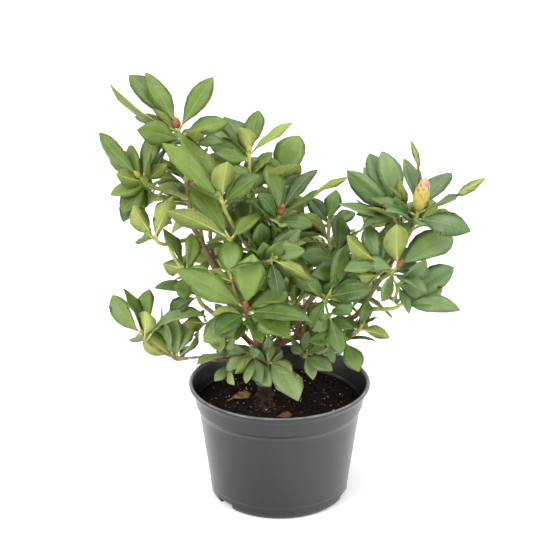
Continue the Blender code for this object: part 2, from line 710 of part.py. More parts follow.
def leaf_pose(kind, way, axis, rng, spread, turned_over):
    """The direction of a leaf and of its upper face, and how much longer it is than it looks."""
    if kind == "w":
        shake = Vector([rng.uniform(-1, 1) for axis_number in range(3)])
        chord = (way + 0.25 * spread * shake).normalized()
        return chord, (axis - axis.dot(chord) * chord).normalized(), 1.0
    lift = math.radians(FORWARD[kind.lower()] + rng.uniform(-6, 6) + spread * rng.uniform(-16, 16))
    turn = math.radians(30 * (way + spread * rng.uniform(-0.12, 0.12)))
    flat = math.sin(turn) * ACROSS + math.cos(turn) * RISE
    chord = math.cos(lift) * flat + math.sin(lift) * NEAR
    toward = (NEAR - NEAR.dot(chord) * chord).normalized()
    around = chord.cross(toward)
    roll = math.radians(ROLL[kind.lower()] + rng.uniform(-12, 12) + spread * rng.uniform(-12, 12))
    pair = [math.cos(roll) * toward + hand * math.sin(roll) * around for hand in (-1, 1)]
    pair.sort(key=lambda face: face.dot(axis - axis.dot(chord) * chord), reverse=not turned_over)
    return chord, pair[0], 1 / math.cos(lift)


def grow_leaves(name, shoot, twig, front, space):
    """A shoot's whorl: each leaf takes the first of ten poses that is clear, or is left out."""
    rng = random.Random(f"{shoot} {front}")
    axis = (twig[0][-1] - twig[0][-2]).normalized()
    seen = seen_directions(SHOOTS[shoot][1])
    rows = seen if front else rear_directions(axis, seen, rng)
    grown = []
    for i, (kind, way, length) in enumerate(rows):
        index = i if front else i + len(seen)
        chosen = None
        for tries in range(10):
            chord, face, longer = leaf_pose(kind, way, axis, rng, float(tries > 0), tries % 4 == 3)
            real = length * longer
            broad = 1.3 if kind.isupper() else 1.0
            share = broad * (HALF_WIDTH + BROADER * min(max(LONG_LEAF - real, 0.0), 0.028))
            leaf = {
                "root": back_along(twig[0], 0.0010 + LEAF_SPACING * index), "chord": chord, "face": face,
                "length": real, "half": real * share * rng.uniform(0.92, 1.08),
                "bend": math.radians(rng.uniform(12, 28) if kind in "uU" else rng.uniform(18, 42)),
                "fold": math.radians(rng.uniform(4, 16)), "kind": kind, "mass": name, "shoot": shoot,
            }
            if space.touched(leaf_shape(leaf, GAP), name, ("leaf", "twig", "bud")):
                continue
            own = [hit for hit in space.touched(leaf_shape(leaf, GAP, 0.15)) if hit[0] == name]
            if not own:
                chosen = leaf
                break
            chosen = chosen or leaf
        if chosen:
            space.add(name, "leaf", leaf_shape(chosen))
            grown.append(chosen)
    return grown


def grow_plant():
    """The whole plant as limbs, twigs, buds and leaves that keep clear of each other."""
    space = Space()
    limbs = grow_limbs(space)
    twigs = grow_twigs(limbs, space)
    buds, leaves = {}, {name: [] for name in twigs}
    for name, rows in twigs.items():
        for shoot, twig in rows:
            if shoot in BUDS:
                axis = (twig[0][-1] - twig[0][-2]).normalized()
                bud = bud_limb(Vector(SHOOTS[shoot][0]), axis, *BUDS[shoot])
                buds[shoot] = bud
                space.add(name, "bud", tube(bud))
    for front in (True, False):
        for name, rows in twigs.items():
            for shoot, twig in rows:
                leaves[name] += grow_leaves(name, shoot, twig, front, space)
    return limbs, twigs, buds, leaves


def build_plant():
    """Makes the nodes: limbs as they are, and each mass fused into one body."""
    limbs, twigs, buds, leaves = grow_plant()
    for name, limb in limbs.items():
        piece(name, tube(limb), "bark")
    for name, rows in twigs.items():
        mass = piece(name, tube(rows[0][1]), "foliage")
        group = new_group("fused")
        for shoot, twig in rows[1:]:
            helper("twig", tube(twig), group)
        for shoot, twig in rows:
            if shoot in buds:
                helper("bud", tube(buds[shoot]), group)
        for leaf in leaves[name]:
            helper("leaf", leaf_shape(leaf), group)
        apply_boolean(mass, group, "UNION")
        scraps = keep_largest(mass)
        print(name, len(leaves[name]), "leaves,", len(mass.data.polygons), "faces,", scraps, "scraps")


def main():
    for old in list(bpy.data.objects):
        bpy.data.objects.remove(old)
    build_pot()
    build_soil()
    build_plant()


if __name__ == "__main__":
    main()
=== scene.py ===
# %% [markdown]
# # A potted rhododendron
# A young evergreen shrub in a round plastic nursery pot, photographed from a little above on a white
# sweep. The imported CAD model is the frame: it says where the pot, the soil, the trunk, every bough and
# every mass of foliage is. This lesson dresses it in metres, with +Z up and the front towards -Y, and
# lets the plant grow again by the same rule as its source, only with finer leaves and more twigs.

# %% Load the frame
import math
import random

import bpy
import numpy as np
from mathutils.bvhtree import BVHTree
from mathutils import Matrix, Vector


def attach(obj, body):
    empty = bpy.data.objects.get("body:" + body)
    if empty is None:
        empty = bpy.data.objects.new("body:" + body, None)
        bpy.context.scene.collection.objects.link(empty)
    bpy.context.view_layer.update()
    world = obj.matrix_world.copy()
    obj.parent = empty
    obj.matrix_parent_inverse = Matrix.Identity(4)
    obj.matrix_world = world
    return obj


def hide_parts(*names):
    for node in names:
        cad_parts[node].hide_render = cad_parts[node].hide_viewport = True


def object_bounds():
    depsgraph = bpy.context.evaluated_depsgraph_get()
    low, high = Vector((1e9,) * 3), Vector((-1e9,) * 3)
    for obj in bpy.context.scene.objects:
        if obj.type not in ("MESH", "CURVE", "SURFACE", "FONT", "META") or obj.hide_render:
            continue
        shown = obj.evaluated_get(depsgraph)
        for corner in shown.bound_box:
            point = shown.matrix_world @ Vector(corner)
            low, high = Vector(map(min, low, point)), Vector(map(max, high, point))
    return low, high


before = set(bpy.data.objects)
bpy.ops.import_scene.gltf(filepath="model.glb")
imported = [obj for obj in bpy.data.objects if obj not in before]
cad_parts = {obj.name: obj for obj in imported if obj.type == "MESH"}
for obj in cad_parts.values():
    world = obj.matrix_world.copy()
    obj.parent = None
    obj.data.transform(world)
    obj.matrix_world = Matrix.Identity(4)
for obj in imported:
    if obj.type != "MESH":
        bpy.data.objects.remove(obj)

CAD_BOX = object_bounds()
print("CAD box in mm:", [[round(1000 * x, 1) for x in corner] for corner in CAD_BOX])

# %% [markdown]
# ## Camera
# The eye stands about two metres away and looks down by some twenty degrees, so the pot's rim shows
# as an open ellipse. A long lens keeps the pot's walls nearly parallel. The place and the lens were
# worked out from that ellipse: its width gives the distance, and its height the dip.

# %% Camera
CAMERA_AT = (-0.0038, -1.8192, 0.9840)
CAMERA_DIP = math.radians(20.8)
SENSOR = 36.0
LENS = 102.35

camera_data = bpy.data.cameras.new("camera")
camera_data.sensor_width = SENSOR
camera_data.lens = LENS
camera = bpy.data.objects.new("camera", camera_data)
camera.location = CAMERA_AT
camera.rotation_euler = (math.pi / 2 - CAMERA_DIP, 0, 0)
bpy.context.scene.collection.objects.link(camera)
bpy.context.scene.camera = camera
print("camera", CAMERA_AT, "looks down by", round(math.degrees(CAMERA_DIP), 1), "degrees")

# %% [markdown]
# ## Studio
# A white tent of light: a bright even surround, one broad lamp high on the left, a weaker one on the
# right and a lamp overhead. Soft lamps give the leaves a pale sheen without hard shadows, and the
# bright surround puts the pale edges on both sides of the dark pot.

# %% Studio
FLOOR_HALF = 9.0
FLOOR_GLOW = 0.22
SURROUND = 1.0


def soft_lamp(name, place, aim, side, watts):
    """A square area lamp at a place, turned towards the aim."""
    data = bpy.data.lights.new(name, "AREA")
    data.shape = "SQUARE"
    data.size = side
    data.energy = watts
    lamp = bpy.data.objects.new(name, data)
    lamp.location = place
    away = np.subtract(aim, place)
    flat = math.hypot(away[0], away[1])
    lamp.rotation_euler = (math.atan2(flat, -away[2]), 0, math.atan2(away[1], away[0]) - math.pi / 2)
    bpy.context.scene.collection.objects.link(lamp)
    return lamp


surround = bpy.data.worlds.new("surround")
surround.use_nodes = True
surround.node_tree.nodes["Background"].inputs["Color"].default_value = (1.0, 1.0, 1.0, 1.0)
surround.node_tree.nodes["Background"].inputs["Strength"].default_value = SURROUND
bpy.context.scene.world = surround
bpy.context.scene.view_settings.view_transform = "Standard"

soft_lamp("lamp_left", (-1.3, -1.2, 1.7), (0, 0, 0.3), 1.2, 26)
soft_lamp("lamp_right", (1.5, -0.9, 1.2), (0, 0, 0.3), 1.0, 9)
soft_lamp("lamp_above", (0.1, 0.3, 2.2), (0, 0, 0.3), 1.4, 16)
print("surround", SURROUND, "and three soft lamps")

# %% [markdown]
# ## Meshes from arrays
# Nearly every part of a plant is a loft: rings of points along a line, closed by a point at each end.
# A twig, a leaf, a bud scale and a crumb of soil differ only in the shape of their rings. One function
# numbers the faces of a loft, and another puts any number of equal lofts into one mesh.

# %% Lofts
def new_object(name, points, faces, finishes, face_finish=None):
    """A mesh at the origin from points and rows of corner numbers, which moves with the part."""
    mesh = bpy.data.meshes.new(name)
    mesh.from_pydata(np.reshape(points, (-1, 3)).tolist(), [], faces)
    mesh.polygons.foreach_set("use_smooth", np.full(len(faces), True))
    for finish in finishes:
        mesh.materials.append(finish)
    if face_finish is not None:
        mesh.polygons.foreach_set("material_index", np.asarray(face_finish, np.int32))
    mesh.update()
    obj = bpy.data.objects.new(name, mesh)
    bpy.context.scene.collection.objects.link(obj)
    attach(obj, "root")
    print(name, len(mesh.vertices), "points,", sum(len(face) - 2 for face in faces), "triangles")
    return obj


def loft_faces(rows, columns):
    """Quads between neighbouring rings, row by row, then triangles to the foot point and the tip point."""
    row, column = np.mgrid[0:rows - 1, 0:columns]
    low, beyond = row * columns, (column + 1) % columns
    quads = np.stack([low + column, low + beyond, low + columns + beyond, low + columns + column], -1)
    corner = np.arange(columns)
    beyond, last = (corner + 1) % columns, (rows - 1) * columns
    foot = np.stack([np.full(columns, rows * columns), beyond, corner], -1)
    tip = np.stack([np.full(columns, rows * columns + 1), last + corner, last + beyond], -1)
    return quads.reshape(-1, 4), np.concatenate([foot, tip])


def add_lofts(name, rings, feet, tips, finishes, finish_of_one=None):
    """Equal lofts in one mesh. Rings count loft, row, column and coordinate; the quads of all come
    first and their end triangles after them. Each loft's faces take the finishes of finish_of_one."""
    count, rows, columns = rings.shape[:3]
    points = np.concatenate([rings.reshape(count, -1, 3), feet[:, None], tips[:, None]], 1)
    step = np.arange(count)[:, None, None] * points.shape[1]
    quads, ends = loft_faces(rows, columns)
    faces = (quads + step).reshape(-1, 4).tolist() + (ends + step).reshape(-1, 3).tolist()
    marks = None
    if finish_of_one is not None:
        marks = np.concatenate([np.tile(finish_of_one[0], count), np.tile(finish_of_one[1], count)])
    return new_object(name, points, faces, finishes, marks)


def paint(obj, name, values):
    """Stores one number for each point of a mesh under a name that a finish can read."""
    layer = obj.data.attributes.new(name, "FLOAT", "POINT")
    layer.data.foreach_set("value", np.asarray(values, np.float32).ravel())


# %% [markdown]
# ## Finishes from nodes
# Every finish is one Principled shader. What is alike all over is set on its sockets. What varies,
# such as blotches, streaks and veins, comes from noise on Object coordinates or from numbers stored
# on the mesh, and goes through a ramp into the colour and through a bump into the normal.

# %% Node helpers
# The colour sockets of a mix node, whose names are those of its other sockets too
MIX_COLOURS, MIX_RESULT = (6, 7), 2


class Finish:
    """A material with short calls for the few kinds of node that this plant needs."""

    def __init__(self, name, colour, roughness, specular=0.5):
        self.material = bpy.data.materials.new(name)
        self.material.use_nodes = True
        self.tree = self.material.node_tree
        self.shader = self.tree.nodes["Principled BSDF"]
        self.shader.inputs["Base Color"].default_value = (*colour, 1.0)
        self.shader.inputs["Roughness"].default_value = roughness
        self.shader.inputs["Specular IOR Level"].default_value = specular
        self.material.diffuse_color = (*colour, 1.0)

    def add(self, kind, settings=None, **inputs):
        """A node of that kind; an input is a value or another node's socket."""
        made = self.tree.nodes.new(kind)
        for name, value in (settings or {}).items():
            setattr(made, name, value)
        for name, value in inputs.items():
            self.put(made.inputs[int(name[1:]) if name[1:].isdigit() else name.replace("_", " ")], value)
        return made

    def put(self, socket, value):
        if isinstance(value, bpy.types.NodeSocket):
            self.tree.links.new(value, socket)
        else:
            socket.default_value = value

    def place(self, scale=(1, 1, 1)):
        """Object coordinates, stretched along the axes."""
        coordinates = self.add("ShaderNodeTexCoord")
        mapping = self.add("ShaderNodeMapping", Vector=coordinates.outputs["Object"])
        mapping.inputs["Scale"].default_value = scale
        return mapping.outputs["Vector"]

    def noise(self, scale, detail=3.0, stretch=(1, 1, 1)):
        """Cloudy noise from 0 to 1."""
        return self.add("ShaderNodeTexNoise", Vector=self.place(stretch), Scale=scale,
                        Detail=detail).outputs["Fac"]

    def stored(self, name):
        """A number stored on the mesh."""
        return self.add("ShaderNodeAttribute", {"attribute_name": name}).outputs["Fac"]

    def math(self, operation, first, second=0.0):
        return self.add("ShaderNodeMath", {"operation": operation}, _0=first, _1=second).outputs["Value"]

    def ramp(self, factor, stops):
        """A colour for each value, from (place, colour) stops."""
        made = self.add("ShaderNodeValToRGB", Fac=factor)
        while len(made.color_ramp.elements) < len(stops):
            made.color_ramp.elements.new(0.5)
        for element, (place, colour) in zip(made.color_ramp.elements, stops):
            element.position = place
            element.color = (*colour, 1.0)
        return made.outputs["Color"]

    def blend(self, factor, first, second):
        """The first colour turning into the second as the factor goes from 0 to 1."""
        made = self.add("ShaderNodeMix", {"data_type": "RGBA"}, Factor=factor)
        for number, value in zip(MIX_COLOURS, (first, second)):
            self.put(made.inputs[number], value if isinstance(value, bpy.types.NodeSocket) else (*value, 1.0))
        return made.outputs[MIX_RESULT]

    def span(self, value, low, high, first=0.0, last=1.0, interpolation="LINEAR"):
        """From first to last as the value goes from low to high."""
        made = self.add("ShaderNodeMapRange", {"interpolation_type": interpolation}, Value=value,
                        From_Min=low, From_Max=high, To_Min=first, To_Max=last)
        return made.outputs["Result"]

    def colour(self, socket):
        self.put(self.shader.inputs["Base Color"], socket)

    def roughness(self, factor, low, high):
        """Roughness from low to high as the factor goes from 0 to 1."""
        self.put(self.shader.inputs["Roughness"], self.span(factor, 0.0, 1.0, low, high))

    def bump(self, height, strength, distance):
        """Relief of that depth in metres."""
        made = self.add("ShaderNodeBump", Height=height, Strength=strength, Distance=distance)
        self.put(self.shader.inputs["Normal"], made.outputs["Normal"])


def tone(red, green, blue):
    """A colour as it looks on a screen, from 0 to 255, as the linear light that shaders use: each part is
    raised to a power, but for the darkest, which are only divided."""
    share = np.array((red, green, blue)) / 255
    return tuple(float(x) for x in np.where(share > 0.04045, ((share + 0.055) / 1.055) ** 2.4, share / 12.92))


def mottled(name, colour, roughness, scale, stops, detail=3.0, specular=0.5):
    """A finish whose colour goes from stop to stop, {place: screen colour}, with a cloudy noise."""
    finish = Finish(name, tone(*colour), roughness, specular)
    tones = [(place, tone(*shown)) for place, shown in stops.items()]
    finish.colour(finish.ramp(finish.noise(scale, detail), tones))
    return finish


# %% [markdown]
# ## Floor
# The object stands on a seamless white sweep that is lit from below as well, so that its shadow all
# but goes. A wide plain plane does for it: at this dip the camera sees only floor behind the plant.

# %% Floor
white_floor = Finish("white_floor", tone(250, 250, 250), 0.9, 0.1)
white_floor.shader.inputs["Emission Color"].default_value = (1.0, 1.0, 1.0, 1.0)
white_floor.shader.inputs["Emission Strength"].default_value = FLOOR_GLOW
floor_points = np.array(((-1, -1, 0), (1, -1, 0), (1, 1, 0), (-1, 1, 0))) * FLOOR_HALF
floor_mesh = bpy.data.meshes.new("floor")
floor_mesh.from_pydata(floor_points.tolist(), [], [(0, 1, 2, 3)])
floor_mesh.materials.append(white_floor.material)
floor = bpy.data.objects.new("floor", floor_mesh)
bpy.context.scene.collection.objects.link(floor)
print("floor", 2 * FLOOR_HALF, "m wide")

# %% [markdown]
# ## The growth rule, part one: lines
# The plant's source grows limbs along smooth curves, twigs along arcs that leave one limb and arrive
# along a shoot's own direction, and leaves along an arched midrib. The same curves are written here
# with arrays, so that the leaves come out where the frame has them.

# %% Lines
TWIG_RINGS, TWIG_SIDES, HANDLE, LOOK = 5, 3, 0.33, 0.1

# Slanted directions from which the sides of a line are found
SLANTED, FIRST_SIDE = (0.3, 0.2, 1), (0.31, 0.87, 0.38)


def unit(vector):
    return vector / np.linalg.norm(vector)


def curve(points, count):
    """A smooth line through the points by Catmull and Rom's rule: on each span a cubic whose slope at
    a point is half the step from the point before it to the point after it."""
    given = np.array([np.asarray(p, float) for p in points])
    given = np.vstack([2 * given[0] - given[1], given, 2 * given[-1] - given[-2]])
    place = np.linspace(0, len(given) - 3, count)
    i = np.minimum(place.astype(int), len(given) - 4)
    t = (place - i)[:, None]
    a, b, c, d = (given[i + k] for k in range(4))
    return 0.5 * (2 * b + (c - a) * t + (2 * a - 5 * b + 4 * c - d) * t * t
                  + (3 * b - a - 3 * c + d) * t ** 3)


def twig_limb(start, ahead, tip, axis, aside, radii, first=None):
    """A thin limb on a cubic that leaves the start towards `ahead` and reaches the tip along `axis`."""
    span = np.linalg.norm(tip - start) * HANDLE
    p1, p2 = start + ahead * span, tip - axis * span + aside
    t = np.linspace(0, 1, TWIG_RINGS)[:, None]
    s = 1 - t
    line = s ** 3 * start + 3 * s * s * t * p1 + 3 * s * t * t * p2 + t ** 3 * tip
    return line, np.linspace(*radii, TWIG_RINGS), TWIG_SIDES, first


def point_on(line, share):
    """The point at a share of the way along a line, counted in its points."""
    place = min(max(share, 0.0), 1.0) * (len(line) - 1)
    i = min(int(place), len(line) - 2)
    return line[i] + (line[i + 1] - line[i]) * (place - i)


def back_along(line, distance):
    """The point a distance back from the line's tip."""
    steps = np.linalg.norm(np.diff(line[::-1], axis=0), axis=1)
    reached = np.concatenate([[0], np.cumsum(steps)])
    return np.array([np.interp(distance, reached, line[::-1, k]) for k in range(3)])


def heading(line, share):
    """The direction of a line there."""
    return unit(point_on(line, min(share + LOOK, 1.0)) - point_on(line, share - LOOK))


def outward(axis, turn):
    """The direction square to an axis on the side that the turn says."""
    side = unit(np.cross(axis, SLANTED))
    return math.cos(turn) * side + math.sin(turn) * np.cross(axis, side)


def around(axis, turn, lean):
    """A direction that leans away from an axis by an angle, on that side."""
    return math.cos(lean) * axis + math.sin(lean) * outward(axis, turn)


def tube(limb, grow=0.0):
    """Rings round a limb, which is a line, its radii, its number of sides and the way that its first ring
    faces. Each point is the centre plus the radius times cos of its turn along one side direction and
    sin of it along the other, and the side direction is carried on, so that the tube doesn't twist."""
    line, radii, sides, first = limb
    turns = 2 * np.pi * np.arange(sides)[:, None] / sides
    side = np.array(FIRST_SIDE)
    rings = []
    for i, centre in enumerate(line):
        ahead = unit(line[min(i + 1, len(line) - 1)] - line[max(i - 1, 0)])
        if i == 0 and first is not None:
            ahead = first
        side = unit(side - side @ ahead * ahead)
        out = np.cos(turns) * side + np.sin(turns) * np.cross(ahead, side)
        rings.append(centre + (radii[i] + grow) * out)
    return np.array(rings)


# %% [markdown]
# ## The growth rule, part two: leaves
# A leaf lies along an arc. In the source it is only three points wide; here the same formula gives a
# fine section with an upper skin, a lower skin and a midrib that is proud below and sunk above. The
# outline is the sine of a power of the way along the blade, itself raised to a power that grows towards
# the tip: so it is widest just past the middle, narrows slowly to the stalk and ends in a blunt point.

# %% The midrib and the source's plain leaf
PETIOLE = 0.13

# The source's plain leaf: its stations if it is long and if it is short, and its outline and keel
LONG_FROM, LONG_STATIONS, SHORT_STATIONS = 0.052, (0.0, 0.16, 0.48, 0.80), (0.0, 0.16, 0.55)
PLAIN_WIDEST, PLAIN_FULLNESS, PLAIN_STALK, KEEL = 0.95, 0.75, 0.0011, 0.011


def arch(leaf, t):
    """Points on the midrib and the upward direction there. The midrib is an arc whose whole turn is
    the bend and whose chord has the leaf's length."""
    bend, chord, face = leaf["bend"], leaf["chord"], leaf["face"]
    scale = leaf["length"] * (bend / 2) / np.sin(bend / 2)
    turn = bend * (0.5 - t)
    along = (np.sin(bend / 2) - np.sin(turn)) / bend
    lift = (np.cos(turn) - np.cos(bend / 2)) / bend
    return leaf["root"] + scale * (along * chord + lift * face), np.cos(turn) * face - np.sin(turn) * chord


def coarse_leaf(leaf, grow=0.0, start=0.0):
    """The source's leaf: two margins and a keel at each station, and the tip."""
    length = leaf["length"]
    stations = LONG_STATIONS if length > LONG_FROM else SHORT_STATIONS
    t = np.array([x for x in stations if x >= start])[:, None]
    middle, up = arch(leaf, t)
    across = np.cross(leaf["face"], leaf["chord"])
    blade = np.maximum(0.0, (t - PETIOLE) / (1 - PETIOLE))
    outline = np.sin(np.pi * blade ** PLAIN_WIDEST) ** PLAIN_FULLNESS
    wide = np.maximum(leaf["half"] * outline, PLAIN_STALK) + grow
    rise, flat = wide * np.sin(leaf["fold"]) + grow, wide * np.cos(leaf["fold"])
    ring = [middle - flat * across + rise * up, middle + flat * across + rise * up,
            middle - (KEEL * length + grow) * up]
    tip = arch(leaf, np.array([1 + grow / length]))[0]
    points = np.concatenate([np.stack(ring, 1).reshape(-1, 3), tip[None]])
    rows = len(t)
    faces = [(3 * i + k, 3 * i + (k + 1) % 3, 3 * i + 3 + (k + 1) % 3, 3 * i + 3 + k)
             for i in range(rows - 1) for k in range(3)]
    faces += [(3 * rows - 3 + k, 3 * rows - 3 + (k + 1) % 3, 3 * rows) for k in range(3)]
    return points, faces + [(2, 1, 0)]


# %% [markdown]
# Each leaf rolls, curls and twists in its own way, and a few have an end that turns right over and
# shows its pale lower side. All leaves are worked out together, as arrays that count leaf, station
# along the leaf and point across it.

# %% Fine leaves
WIDEST, FULLNESS, POINTED = 1.12, 0.78, 0.12
END_TURNS, CURLS_FROM = (0.52, 0.76), 0.6
STALK, STALK_SHARE, SWELLING = 0.0012, 0.022, 0.16
RIB_ABOVE, RIB_SUNK, RIB_PROUD, RIB_BELOW, RIB_DEEP, THINNEST = 0.55, 0.25, 0.4, 0.7, 1.3, 0.0002

# Across the leaf: the share of the half width, and the layer: 0 margin, 1 skin, 2 rib above, 3 rib below
SECTION = ((1, 0), (0.5, 1), (0.07, 2), (-0.07, 2), (-0.5, 1), (-1, 0), (-0.09, 3), (0.09, 3))
FINE_STATIONS = np.array((0.0, 0.12, 0.20, 0.34, 0.50, 0.66, 0.80, 0.91, 0.97))


def ease(value, low, high):
    """0 below low, 1 above high, and an even ramp with soft ends between."""
    t = np.clip((value - low) / (high - low), 0, 1)
    return t * t * (3 - 2 * t)


def fine_leaves(leaves):
    """Rings, feet and tips of many leaves at once. Across the blade a point's height is the fold times
    its distance from the midrib, plus a low swelling between midrib and margin, less a roll at the
    margin, plus a wave that grows outwards. The whole section turns slowly by the twist, and an end
    that turns over does so by an even ramp just past the middle. Past three fifths of its length the
    leaf curls down by the square of the way beyond."""
    def column(name):
        return np.array([leaf.get(name, 0.0) for leaf in leaves])[:, None, None]

    table = {key: np.array([leaf[key] for leaf in leaves])[:, None, :] for key in ("root", "chord", "face")}
    table |= {key: column(key) for key in ("bend", "length")}
    t = FINE_STATIONS[None, :, None]
    middle, up = arch(table, t)
    across = np.cross(table["face"], table["chord"])
    ahead = np.cross(across, up)
    twist = column("twist") * (t - 0.2) + column("turned_end") * ease(t, *END_TURNS)
    across, up = across * np.cos(twist) + up * np.sin(twist), up * np.cos(twist) - across * np.sin(twist)
    blade = np.clip((t - PETIOLE) / (1 - PETIOLE), 0, 1)
    stalk = np.minimum(STALK, STALK_SHARE * column("length"))
    outline = np.sin(np.pi * blade ** WIDEST) ** (FULLNESS + POINTED * blade)
    half, fold = column("half") * outline, column("fold")
    middle = middle - column("curl") * column("length") * (np.maximum(0, t - CURLS_FROM) / 0.4) ** 2 * up
    wide = np.maximum(half, stalk)
    rib = np.maximum(stalk * (1 - 0.75 * t), THINNEST)
    rings = []
    for share, layer in SECTION:
        edge = abs(share)
        x = share * wide * np.cos(fold)
        z = edge * wide * np.sin(fold) + wide * (SWELLING * edge * (1 - edge) - column("roll") * edge ** 4)
        z = z + column("wave") * half * edge ** 2 * np.sin(column("pace") * t + column("phase") + share)
        if layer == 2:
            x = np.sign(share) * rib * RIB_ABOVE
            z = z - RIB_SUNK * rib * (t > PETIOLE) + RIB_PROUD * rib * (t < PETIOLE)
        if layer == 3:
            x, z = np.sign(share) * rib * RIB_BELOW, -RIB_DEEP * rib - THINNEST
        rings.append(middle + x * across + z * up)
    feet = (table["root"] - 0.0004 * table["chord"])[:, 0]
    last, last_up = arch(table, np.array([[[1.0]]]))
    tips = (last - column("curl") * column("length") * last_up)[:, 0]
    return np.stack(rings, 2), feet, tips


# Which finish each face of a leaf takes: 0 the upper skin, 1 the lower skin, 2 the line of the midrib
# above, 3 the midrib below and the stalk
ACROSS_FINISH = np.array((0, 0, 2, 0, 0, 1, 3, 1))
LEAF_FINISH = (np.concatenate([np.full(8, 3), np.tile(ACROSS_FINISH, len(FINE_STATIONS) - 2)]),
               np.concatenate([np.full(8, 3), ACROSS_FINISH]))

# %% [markdown]
# ## The growth rule, part three: clear space
# Nothing on a living plant passes through anything else. Each new limb, twig or leaf is tested with a
# search tree against all that is there, turned a little and tested again, and in the end left out.

# %% Clear space
GAP = 0.0003
CUTS, WHOLE_LINE = 300, 500


def solid(rings):
    """A tube's rings as a closed shape for testing: its quads and its two flat ends."""
    rows, sides = rings.shape[:2]
    faces = [(low + k, low + (k + 1) % sides, low + sides + (k + 1) % sides, low + sides + k)
             for low in range(0, (rows - 1) * sides, sides) for k in range(sides)]
    return rings.reshape(-1, 3), faces + [tuple(range(sides)), tuple(range((rows - 1) * sides, rows * sides))]


class Space:
    """What has been placed, so that the next piece can be kept clear of it."""

    def __init__(self):
        self.rows = []

    @staticmethod
    def measured(shape):
        """A search tree of the shape and the corners of its box."""
        points, faces = shape
        return BVHTree.FromPolygons(points.tolist(), faces), points.min(axis=0), points.max(axis=0)

    def add(self, owner, kind, shape):
        self.rows.append((owner, kind) + self.measured(shape))

    def touched(self, shape, own=None, leave_out=()):
        """What the shape touches, apart from the named kinds of its own mass."""
        tree, low, high = self.measured(shape)
        found = []
        for owner, kind, other, other_low, other_high in self.rows:
            if owner == own and kind in leave_out:
                continue
            if (other_low <= high).all() and (other_high >= low).all() and tree.overlap(other):
                found.append((owner, kind))
        return found


def clear_start(limb, space):
    """Cuts back a limb that begins on another's axis until it is clear of all that is there."""
    line, radii, sides, first = limb
    for step in range(CUTS):
        cut = step / WHOLE_LINE
        shorter = np.array([point_on(line, cut + (1 - cut) * k / (len(line) - 1)) for k in range(len(line))])
        tested = np.vstack([shorter[0] - unit(shorter[1] - shorter[0]) * GAP, shorter[1:]])
        if not space.touched(solid(tube((tested, radii, sides, first), GAP))):
            return shorter, radii, sides, first
    return None


# %% [markdown]
# ## The growth rule, part four: this plant
# The trunk, the boughs and the shoots of this very plant. Each shoot has its tip and, as a short word
# for each leaf, what the front view shows: the clock hour that the leaf points to, its length in mm
# and how it is turned. The numbers are the source's own.

# %% Trunk and boughs
TRUNK = (
    ((-0.0190, 0.004, 0.1303), 0.0130),
    ((-0.0192, 0.004, 0.1345), 0.0092),
    ((-0.0198, 0.003, 0.1500), 0.0074),
    ((-0.0205, 0.001, 0.1700), 0.0066),
    ((-0.0220, 0.000, 0.1910), 0.0056),
)

# A bough: what it grows from, how far along that, its way points, and its first and last radius
BOUGHS = {
    "bough_left": ("trunk", 1.0, ((-0.059, 0.002, 0.262), (-0.083, 0.004, 0.309), (-0.100, 0.004, 0.345)),
                   0.0046, 0.0034),
    "bough_left_top": ("bough_left", 1.0, ((-0.110, 0.003, 0.385), (-0.113, 0.003, 0.418)), 0.0032, 0.0025),
    "bough_left_low": ("trunk", 0.93,
                       ((-0.050, -0.016, 0.226), (-0.074, -0.022, 0.246), (-0.094, -0.028, 0.266)),
                       0.0034, 0.0026),
    "bough_rim": ("trunk", 0.78, ((-0.048, -0.020, 0.190), (-0.075, -0.030, 0.193), (-0.098, -0.037, 0.200)),
                  0.0030, 0.0022),
    "bough_middle": ("trunk", 0.97, ((-0.026, 0.000, 0.250), (-0.033, -0.004, 0.300), (-0.037, 0.000, 0.335)),
                     0.0042, 0.0030),
    "bough_back": ("trunk", 0.90, ((-0.020, 0.045, 0.228), (-0.022, 0.075, 0.268)), 0.0038, 0.0028),
    "bough_back_left": ("bough_left", 0.55, ((-0.083, 0.045, 0.300), (-0.088, 0.062, 0.325)), 0.0030, 0.0024),
    "bough_right": ("trunk", 0.96, ((0.012, -0.008, 0.212), (0.050, -0.016, 0.226), (0.081, -0.020, 0.243)),
                    0.0042, 0.0034),
    "bough_right_top": ("bough_right", 1.0, ((0.113, -0.022, 0.280), (0.140, -0.014, 0.322)), 0.0032, 0.0025),
    "bough_right_inner": ("bough_right", 0.35, ((0.034, 0.010, 0.250), (0.052, 0.010, 0.280)),
                          0.0030, 0.0024),
    "bough_back_right": ("trunk", 0.85, ((0.010, 0.045, 0.205), (0.045, 0.085, 0.232)), 0.0034, 0.0026),
    "bough_front": ("trunk", 0.88, ((-0.026, -0.030, 0.208), (-0.034, -0.052, 0.243)), 0.0034, 0.0024),
}
print(len(BOUGHS), "boughs")

